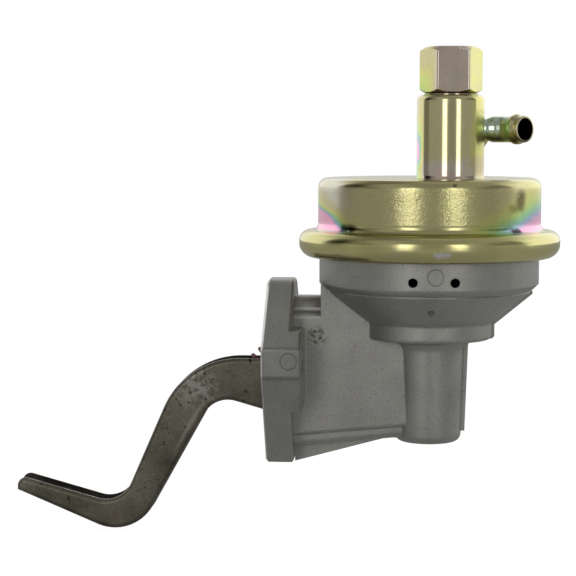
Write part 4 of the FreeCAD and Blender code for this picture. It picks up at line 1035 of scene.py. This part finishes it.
def grid_object(name, points, wrap_rows=False, wrap_columns=False, sharp=35.0):
    """A mesh object from a grid of points in millimetres, smooth and with its normals outwards."""
    rows, columns = points.shape[:2]
    index = np.arange(rows * columns).reshape(rows, columns)
    if wrap_rows:
        index = np.vstack([index, index[:1]])
    if wrap_columns:
        index = np.hstack([index, index[:, :1]])
    quads = np.stack([index[:-1, :-1], index[1:, :-1], index[1:, 1:], index[:-1, 1:]], axis=-1)
    mesh = bpy.data.meshes.new(name)
    mesh.from_pydata((points.reshape(-1, 3) * MM).tolist(), [], quads.reshape(-1, 4).tolist())
    work = bmesh.new()
    work.from_mesh(mesh)
    bmesh.ops.remove_doubles(work, verts=work.verts, dist=2e-6)
    bmesh.ops.dissolve_degenerate(work, edges=work.edges, dist=1e-7)
    bmesh.ops.recalc_face_normals(work, faces=work.faces)
    work.to_mesh(mesh)
    work.free()
    mesh.shade_smooth()
    mesh.set_sharp_from_angle(angle=math.radians(sharp))
    made = bpy.data.objects.new(name, mesh)
    scene.collection.objects.link(made)
    print(f"{name}: {len(mesh.polygons)} faces")
    return made


def dress(piece, body, slot, material, *nodes):
    """Let a new piece ride with a body, stand for CAD nodes and take a finish."""
    piece.data.materials.clear()
    piece.data.materials.append(material)
    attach(piece, body)
    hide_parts(*nodes)


# %% [markdown]
# ## The plated cover
#
# The real cover is a cup stamped from sheet, and its foot is rolled over the clamped rims into
# the bead. Its outline is closed, outside and inside, and is carried round the pump's axis. Real
# stampings are never perfect, so the bead's radius wanders by a few hundredths and has one knock.

# %% Cover
SHEET = 1.2
COVER_SEGMENTS = 288
KNOCK_BEARING = math.radians(-83.0)
KNOCK_HEIGHT = 39.3
KNOCK_DEEP = 0.35
WANDER = 0.05
SEAM_HEIGHT = 42.4
SEAM_DEEP = 0.12


def cover_surface():
    """Radius and height from the outline, carried round.

    Across is the radius times the cosine of the turn, and deep is the radius times its sine.
    The knock is a Gaussian dip of the radius about one bearing and height of the bead. The seam,
    where the rolled rim meets the wall of the bead, is a narrow dip at one height all round.
    """
    collar = COVER_R - 0.48
    line = rounded([
        (0.0, COVER_TOP),
        (COVER_R, COVER_TOP, 3.4),
        (COVER_R, SHOULDER_TOP, 2.6),
        (BEAD_R, SHOULDER_TOP, 4.0),
        (BEAD_R, COVER_FOOT, 5.2),
        (collar, COVER_FOOT),
        (collar, COVER_FOOT + SHEET),
        (BEAD_R - SHEET, COVER_FOOT + SHEET, 4.0),
        (BEAD_R - SHEET, SHOULDER_TOP - SHEET, 2.8),
        (COVER_R - SHEET, SHOULDER_TOP - SHEET),
        (COVER_R - SHEET, COVER_TOP - SHEET, 2.2),
        (0.0, COVER_TOP - SHEET),
    ], 12)
    line = finer(line, 1.6)
    turn = np.linspace(0, 2 * math.pi, COVER_SEGMENTS, endpoint=False)[:, None]
    radius = np.broadcast_to(line[:, 0], (COVER_SEGMENTS, len(line))).copy()
    height = np.broadcast_to(line[:, 1], radius.shape)
    on_bead = np.clip((radius - COVER_R - 2) / 4, 0, 1)
    radius += on_bead * WANDER * (np.sin(7 * turn + 1.0) + 0.6 * np.sin(13 * turn))
    away = (turn - KNOCK_BEARING + math.pi) % (2 * math.pi) - math.pi
    knock = np.exp(-((away * BEAD_R) / 1.6) ** 2 - ((height - KNOCK_HEIGHT) / 1.2) ** 2)
    radius -= KNOCK_DEEP * on_bead * knock
    outermost = np.clip((radius - BEAD_R + 0.6) / 0.4, 0, 1)
    radius -= SEAM_DEEP * np.exp(-((height - SEAM_HEIGHT) / 0.25) ** 2) * outermost
    return np.stack([PUMP_X + radius * np.cos(turn), radius * np.sin(turn), height], axis=-1)


cover = grid_object("cover_shell", cover_surface(), wrap_rows=True)
dress(cover, "housing", "plated_steel", COVER_PLATE, "top_cover")

# %% [markdown]
# ## The fitting and its hexagon
#
# The fitting is turned from hexagon bar: a cylinder, a groove and then the bar itself with both
# ends chamfered. One surface covers all of it, because the radius is a function of the turn and
# the height: round below, and on the hexagon the distance to the nearest flat, cut by the chamfer
# cones.

# %% Fitting
FIT_R = 12.6
FIT_BARREL_TOP = HEX_LOW - 0.45
GROOVE_R = 10.0
HEX_FACE_R = 9.4
FIT_SEGMENTS = 360
BAR = 50.0
HEX_FLATS = 20.64
HEX_TURN = math.radians(4.5)
PORT_R = 7.1
PORT_FLOOR = HEX_TOP - 14.0
CHAMFER = math.tan(math.radians(33.0))


def fitting_surface():
    """Inside up from the port's floor, over the rim and down the outside to the cover.

    On the hexagon, radius = half the flats over the cosine of the turn from the nearest flat's
    middle, and no more than the chamfer's cone allows at that height. The outline holds BAR as the
    radius there, which stands for bar stock and is worked out afterwards.
    """
    barrel = rounded([
        (FIT_R + 0.4, COVER_TOP),
        (FIT_R, COVER_TOP + 1.0, 1.0),
        (FIT_R, FIT_BARREL_TOP, 2.2),
        (GROOVE_R, FIT_BARREL_TOP),
        (GROOVE_R, HEX_LOW),
    ], 8)[:-1]
    barrel = np.concatenate([barrel[:1], finer(barrel, 2.5)[1:], [[GROOVE_R, HEX_LOW]]])
    hexagon = np.stack([np.full(40, BAR), np.concatenate([
        HEX_LOW + np.linspace(0, 2.2, 10), np.linspace(HEX_LOW + 2.8, HEX_TOP - 2.8, 20),
        HEX_TOP - np.linspace(2.2, 0, 10)])], axis=1)
    bore = np.array([[PORT_R + 0.9, HEX_TOP], [PORT_R, HEX_TOP - 0.8], [PORT_R, PORT_FLOOR],
                     [4.2, PORT_FLOOR - 1.2], [4.05, PORT_FLOOR - 6.0]])
    line = np.concatenate([barrel, hexagon, bore])
    turn = np.linspace(0, 2 * math.pi, FIT_SEGMENTS, endpoint=False)[:, None]
    from_flat = (turn - HEX_TURN - math.pi / 2 + math.pi / 6) % (math.pi / 3) - math.pi / 6
    across = HEX_FLATS / 2 / np.cos(from_flat)
    across = np.minimum(across, HEX_FLATS / math.sqrt(3) - 0.12)
    height = np.broadcast_to(line[:, 1], (FIT_SEGMENTS, len(line)))
    cone = HEX_FACE_R + np.minimum(height - HEX_LOW, HEX_TOP - height) / CHAMFER
    radius = np.broadcast_to(line[:, 0], height.shape)
    radius = np.where(radius == BAR, np.minimum(across, cone), radius)
    across, deep = FIT_X + radius * np.cos(turn), FIT_Y + radius * np.sin(turn)
    return np.stack([across, deep, height], axis=-1)


fitting = grid_object("fitting_turned", fitting_surface(), wrap_rows=True, sharp=18.0)
dress(fitting, "housing", "plated_steel", FITTING_PLATE, "outlet_fitting")

# %% [markdown]
# ## The hose nipple
#
# A tube leaves the fitting's side, swells, bends towards the front and ends in a bead for the
# hose. Its outline is a radius along the length, and each point of the length has its own centre
# on the bent axis.

# %% Bent axis
ROOT_BEARING = math.radians(10.0)
BEND_FROM = 16.8
BEND_R = 6.0
BEND_TURN = math.radians(55.0)
BEND_TO = BEND_FROM + BEND_R * BEND_TURN


def bent_axis(along):
    """Centre and heading of the tube at a length along it, as x, y and a bearing.

    Straight, then a circle arc that turns clockwise, then straight again: the centre on the arc is
    the arc's own centre plus the bend radius in the direction at right angles to the heading.
    """
    turned = np.clip((along - BEND_FROM) / BEND_R, 0, BEND_TURN)
    bearing = ROOT_BEARING - turned
    straight = np.minimum(along, BEND_FROM)
    beyond = np.maximum(along - BEND_TO, 0)
    x = (straight * math.cos(ROOT_BEARING) + BEND_R * (math.sin(ROOT_BEARING) - np.sin(bearing))
         + beyond * np.cos(bearing))
    y = (straight * math.sin(ROOT_BEARING) - BEND_R * (math.cos(ROOT_BEARING) - np.cos(bearing))
         + beyond * np.sin(bearing))
    return x, y, bearing


end_x, end_y, end_bearing = bent_axis(BEND_TO + 8.0)
print(f"hose end at x {FIT_X + end_x:.1f}, y {FIT_Y + end_y:.1f} mm, "
      f"bearing {math.degrees(end_bearing):.0f} degrees")

# %% Nipple
TUBE_R = 4.9
BEAD_TUBE_R = 5.65
BORE_R = 4.0


def nipple_surface():
    """Radius against length from the outline; the turn carries it round the bent axis."""
    line = rounded([
        (11.0, 3.9),
        (13.2, 3.9, 4.0),
        (16.0, TUBE_R, 4.0),
        (BEND_TO + 2.9, TUBE_R, 0.4),
        (BEND_TO + 3.4, BEAD_TUBE_R, 0.6),
        (BEND_TO + 4.6, BEAD_TUBE_R, 0.8),
        (BEND_TO + 6.3, 5.05, 0.8),
        (BEND_TO + 8.0, TUBE_R, 0.3),
        (BEND_TO + 8.0, BORE_R, 0.2),
        (BEND_FROM, BORE_R),
        (12.6, 2.9),
        (11.0, 2.9),
    ], 8)
    line = finer(line, 0.6)
    turn = np.linspace(0, 2 * math.pi, 96, endpoint=False)[:, None]
    x, y, bearing = bent_axis(line[:, 0])
    sideways = line[:, 1] * np.cos(turn)
    across = FIT_X + x - sideways * np.sin(bearing)
    deep = FIT_Y + y + sideways * np.cos(bearing)
    return np.stack([across, deep, NIPPLE_Z + line[:, 1] * np.sin(turn)], axis=-1)


nipple = grid_object("nipple_tube", nipple_surface(), wrap_rows=True)
dress(nipple, "housing", "plated_steel", NIPPLE_PLATE, "hose_nipple")

# %% [markdown]
# ## The braze under the nipple
#
# The braze pools as a small web below the tube's root. It is a soft ridge: its reach out of the
# fitting grows with height and its sides fall away as a bell curve.

# %% Braze web
BRAZE_OUT = 3.4
BRAZE_HALF = 3.4
BRAZE_FOOT = NIPPLE_Z - 8.4
BRAZE_TALL = 5.4


def braze_surface():
    """Reach = a rising share of its full reach, times a bell curve of the sideways distance."""
    up = np.linspace(0, 1, 16)[:, None]
    side = np.linspace(-1, 1, 21)[None, :]
    reach = BRAZE_OUT * up ** 1.4 * np.exp(-(side / 0.45) ** 2) - 0.4
    out = np.array([math.cos(ROOT_BEARING), math.sin(ROOT_BEARING)])
    beside = np.array([-out[1], out[0]])
    sideways = side * BRAZE_HALF + 0 * up
    root = np.sqrt(FIT_R ** 2 - sideways ** 2)
    along = root + reach
    height = BRAZE_FOOT + BRAZE_TALL * up + 0 * side
    return np.stack([FIT_X + along * out[0] + sideways * beside[0],
                     FIT_Y + along * out[1] + sideways * beside[1], height], axis=-1)


braze = grid_object("braze_web", braze_surface())
braze.data.materials.append(FITTING_PLATE)
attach(braze, "housing")

# %% [markdown]
# ## Merged copies of CAD meshes
#
# A CAD node's mesh is loose triangles, which can't be shaded smooth. Where its form is already
# right, a copy is merged into one skin and shaded smooth between its sharp edges. The copy stands
# for the node, whose own mesh stays as it is.

# %% Merged copies


def merged_copy(node, name, sharp=32.0):
    """A copy of a CAD node's mesh with its loose triangles joined and its edges kept sharp.

    Corner normals are weighted by face area, so flat faces stay flat beside their rounded edges.
    """
    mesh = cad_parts[node].data.copy()
    work = bmesh.new()
    work.from_mesh(mesh)
    bmesh.ops.remove_doubles(work, verts=work.verts, dist=1e-6)
    work.to_mesh(mesh)
    work.free()
    mesh.shade_smooth()
    mesh.set_sharp_from_angle(angle=math.radians(sharp))
    made = bpy.data.objects.new(name, mesh)
    scene.collection.objects.link(made)
    weights = made.modifiers.new("area_weights", "WEIGHTED_NORMAL")
    weights.keep_sharp = True
    weighted = made.evaluated_get(bpy.context.evaluated_depsgraph_get())
    made.data = bpy.data.meshes.new_from_object(weighted)
    made.data.name = name
    made.modifiers.clear()
    print(f"{name}: {len(made.data.polygons)} faces")
    return made


casting = merged_copy("lower_body", "body_casting")

# %% [markdown]
# ## Clean normals for the cast body
#
# Long thin triangles meet at uneven angles on the collar and the cone, and their averaged normals
# show as streaks in the light. The true normals are known, though: on a turned face a normal has
# no part across the radius, and on a flat one all normals are the same. So they are written in by
# hand, as arrays over all corners at once.

# %% A mesh as arrays
TURNED_PART = 0.06
MARK_X, MARK_Z, MARK_R = 2.4, 32.0, 3.1
MARK_FLOOR_R = 41.44


def read(elements, name, width, kind=np.float32):
    """One property of all vertices, faces or corners of a mesh, as rows of the given width."""
    values = np.empty(len(elements) * width, kind)
    elements.foreach_get(name, values)
    return values.reshape(-1, width) if width > 1 else values


def find_round_faces(middle, facing, far, reach):
    """Faces of surfaces of revolution, from their middles and normals about the axis.

    A face counts when the part of its normal across the radius, the cross product of the two over
    the distance, is nearly nothing and it is within reach. The round mark on the collar is flat.
    """
    across = (facing[:, 1] * middle[:, 0] - facing[:, 0] * middle[:, 1]) / far
    near_mark = np.hypot(middle[:, 0] - MARK_X * MM, middle[:, 2] - MARK_Z * MM) < MARK_R * MM
    in_mark = near_mark & (middle[:, 1] < 0) & (far < MARK_FLOOR_R * MM)
    return (np.abs(across) < TURNED_PART) & (far < reach) & ~in_mark


skin = read(casting.data.polygons, "area", 1).sum()
print(f"skin of the casting, inside and out: {skin * 1e4:.0f} square centimetres")

# %% Normals of the cast body
CONE_R = (28.0, 39.0)
FLAT_AREA = 40.0


def turn_normals(mesh, axis_x, reach):
    """Take the part across the radius out of turned faces' normals, and keep flat faces flat.

    Upright walls get level normals, and the cone's faces get one fall, the median of their own. Of
    the others, faces that share one normal and cover enough area together are flat.
    """
    axis = np.array([axis_x, 0, 0])
    sides = read(mesh.polygons, "loop_total", 1, np.int32)
    facing = read(mesh.polygons, "normal", 3)
    middle = read(mesh.polygons, "center", 3) - axis
    far = np.hypot(middle[:, 0], middle[:, 1])
    round_face = find_round_faces(middle, facing, far, reach)
    turned = np.repeat(round_face, sides)

    spoke = read(mesh.vertices, "co", 3)[read(mesh.loops, "vertex_index", 1, np.int32)] - axis
    spoke /= np.hypot(spoke[:, 0], spoke[:, 1])[:, None]
    beside = np.stack([-spoke[:, 1], spoke[:, 0], 0 * spoke[:, 0]], axis=1)
    normals = read(mesh.corner_normals, "vector", 3)
    extra = (normals * beside).sum(axis=1) * turned
    normals = normals - extra[:, None] * beside

    normals[np.repeat(round_face & (np.abs(facing[:, 2]) < 0.02), sides), 2] = 0.0
    on_cone = round_face & (far > CONE_R[0] * MM) & (far < CONE_R[1] * MM)
    on_cone &= (facing[:, 2] < -0.3) & (facing[:, 2] > -0.95)
    fall = float(np.median(facing[on_cone, 2]))
    conical = np.repeat(round_face & (np.abs(facing[:, 2] - fall) < 0.02), sides)
    normals[conical] = spoke[conical] * math.sqrt(1 - fall * fall)
    normals[conical, 2] = fall

    alike = np.unique(np.round(facing * 400), axis=0, return_inverse=True)[1].ravel()
    covered = np.bincount(alike, read(mesh.polygons, "area", 1))[alike]
    flat = np.repeat((covered > FLAT_AREA * MM ** 2) & ~round_face, sides)
    normals[flat] = np.repeat(facing, sides, axis=0)[flat]
    normals /= np.linalg.norm(normals, axis=1, keepdims=True)
    mesh.normals_split_custom_set(normals.tolist())
    print(f"corners: {len(mesh.loops)}, turned: {int(turned.sum())}, flat: {int(flat.sum())}")


turn_normals(casting.data, PUMP_X * MM, 46 * MM)
dress(casting, "housing", "cast_aluminium", CAST, "lower_body")

# %% [markdown]
# ## The rocker arm
#
# The arm is one stamped channel, open on top. Its CAD mesh has the true bends and the pivot eye,
# so it is merged in the same way, and the finish brings the worn edges of the stamping.

# %% Arm
arm = merged_copy("rocker_arm", "arm_channel", sharp=38.0)
dress(arm, "rocker_arm", "arm_steel", ARM, "rocker_arm")

# %% [markdown]
# ## The return spring
#
# A compression spring is a circle carried along a helix. It stands between the arm and the body,
# and here it rides with the housing and keeps its length. The seat in the arm moves nearly straight
# up by 2.7 mm as the arm lifts.

# %% Return spring
SPRING_AT = (-13.5, 0.0, -13.0)
SPRING_TILT = math.radians(47.0)
SPRING_LONG = 36.0
SPRING_R = 3.4
WIRE_R = 0.8
SPRING_TURNS = 9.5


def spring_surface():
    """The centre line is a circle that climbs along its axis, and the wire is a circle across it."""
    steps = int(SPRING_TURNS * 40)
    turn = np.linspace(0, 2 * math.pi * SPRING_TURNS, steps)
    climb = WIRE_R + (SPRING_LONG - 2 * WIRE_R) * np.linspace(0, 1, steps)
    radial = np.stack([np.cos(turn), np.sin(turn), 0 * turn], axis=1)
    centre = SPRING_R * radial + np.stack([0 * turn, 0 * turn, climb], axis=1)
    ahead = np.gradient(centre, axis=0)
    ahead /= np.linalg.norm(ahead, axis=1, keepdims=True)
    binormal = np.cross(ahead, radial)
    around = np.linspace(0, 2 * math.pi, 14, endpoint=False)
    ring = (np.cos(around)[None, :, None] * radial[:, None, :]
            + np.sin(around)[None, :, None] * binormal[:, None, :]) * WIRE_R
    taper = np.ones(steps)
    taper[[0, -1]] = 0.0
    tube = centre[:, None, :] + ring * taper[:, None, None]
    lean = np.array([[math.cos(SPRING_TILT), 0, math.sin(SPRING_TILT)], [0, 1, 0],
                     [-math.sin(SPRING_TILT), 0, math.cos(SPRING_TILT)]])
    return tube @ lean.T + np.array(SPRING_AT)


spring = grid_object("red_return_spring", spring_surface(), wrap_columns=True)
dress(spring, "housing", "red_spring", RED, "arm_return_spring")
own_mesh(spring)

# %% [markdown]
# ## The springs inside
#
# The diaphragm's spring and the two valve springs are merged copies that ride with the housing.
# The table gives for each the joint that moves the piece that it presses on, the end that keeps its
# place and the travel; the loop below doesn't use them, so the springs keep their length.

# %% Inner springs
INNER_SPRINGS = {
    "diaphragm_spring": ("arm_pivot", "foot", 6.72),
    "outlet_valve_spring": ("outlet_valve_lift", "top", 1.5),
    "inlet_valve_spring": ("inlet_valve_lift", "foot", 1.5),
}
for name, (joint, fixed_end, travel) in INNER_SPRINGS.items():
    coil = merged_copy(name, f"{name}_coil")
    dress(coil, "housing", "spring_steel", SPRING_STEEL, name)
    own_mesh(coil)

# %% [markdown]
# ## The diaphragm
#
# The rubbered disc is clamped at its rim and pulled down in its middle. Its merged copy takes the
# rubber finish and has its place baked into the mesh, and it rides with no body.

# %% Diaphragm
cloth = merged_copy("diaphragm", "diaphragm_cloth")
cloth.data.materials.clear()
cloth.data.materials.append(RUBBER)
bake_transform(cloth)
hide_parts("diaphragm")

# %% [markdown]
# ## The pieces inside
#
# The valves, the rod, the plates and the link keep their CAD meshes and get metal, rubber and
# moulded finishes, so that they look right when the pump is opened.

# %% Finishes of the inner pieces
INNER = (
    (VALVE_ZINC, ["valve_body"]),
    (BRASS, ["outlet_valve_seat", "inlet_valve_seat", "outlet_tube"]),
    (RUBBER, ["oil_seal", "valve_gasket"]),
    (VALVE_PLASTIC, ["outlet_valve_disc", "inlet_valve_disc"]),
    (ARM, ["rocker_link"]),
    (STEEL, ["outlet_valve_cage", "inlet_valve_cage", "pull_rod", "rod_washer",
             "diaphragm_upper_plate", "diaphragm_lower_plate", "seal_retainer", "pivot_pin",
             "pivot_plug", "pivot_bush", "pivot_washer_front", "pivot_washer_rear",
             "spring_seat"]),
)
for material, names in INNER:
    for name in names:
        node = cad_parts[name]
        if not node.material_slots:
            node.data.materials.append(material)
        for slot in node.material_slots:
            slot.material = material
print("inner pieces:", sum(len(names) for _, names in INNER))
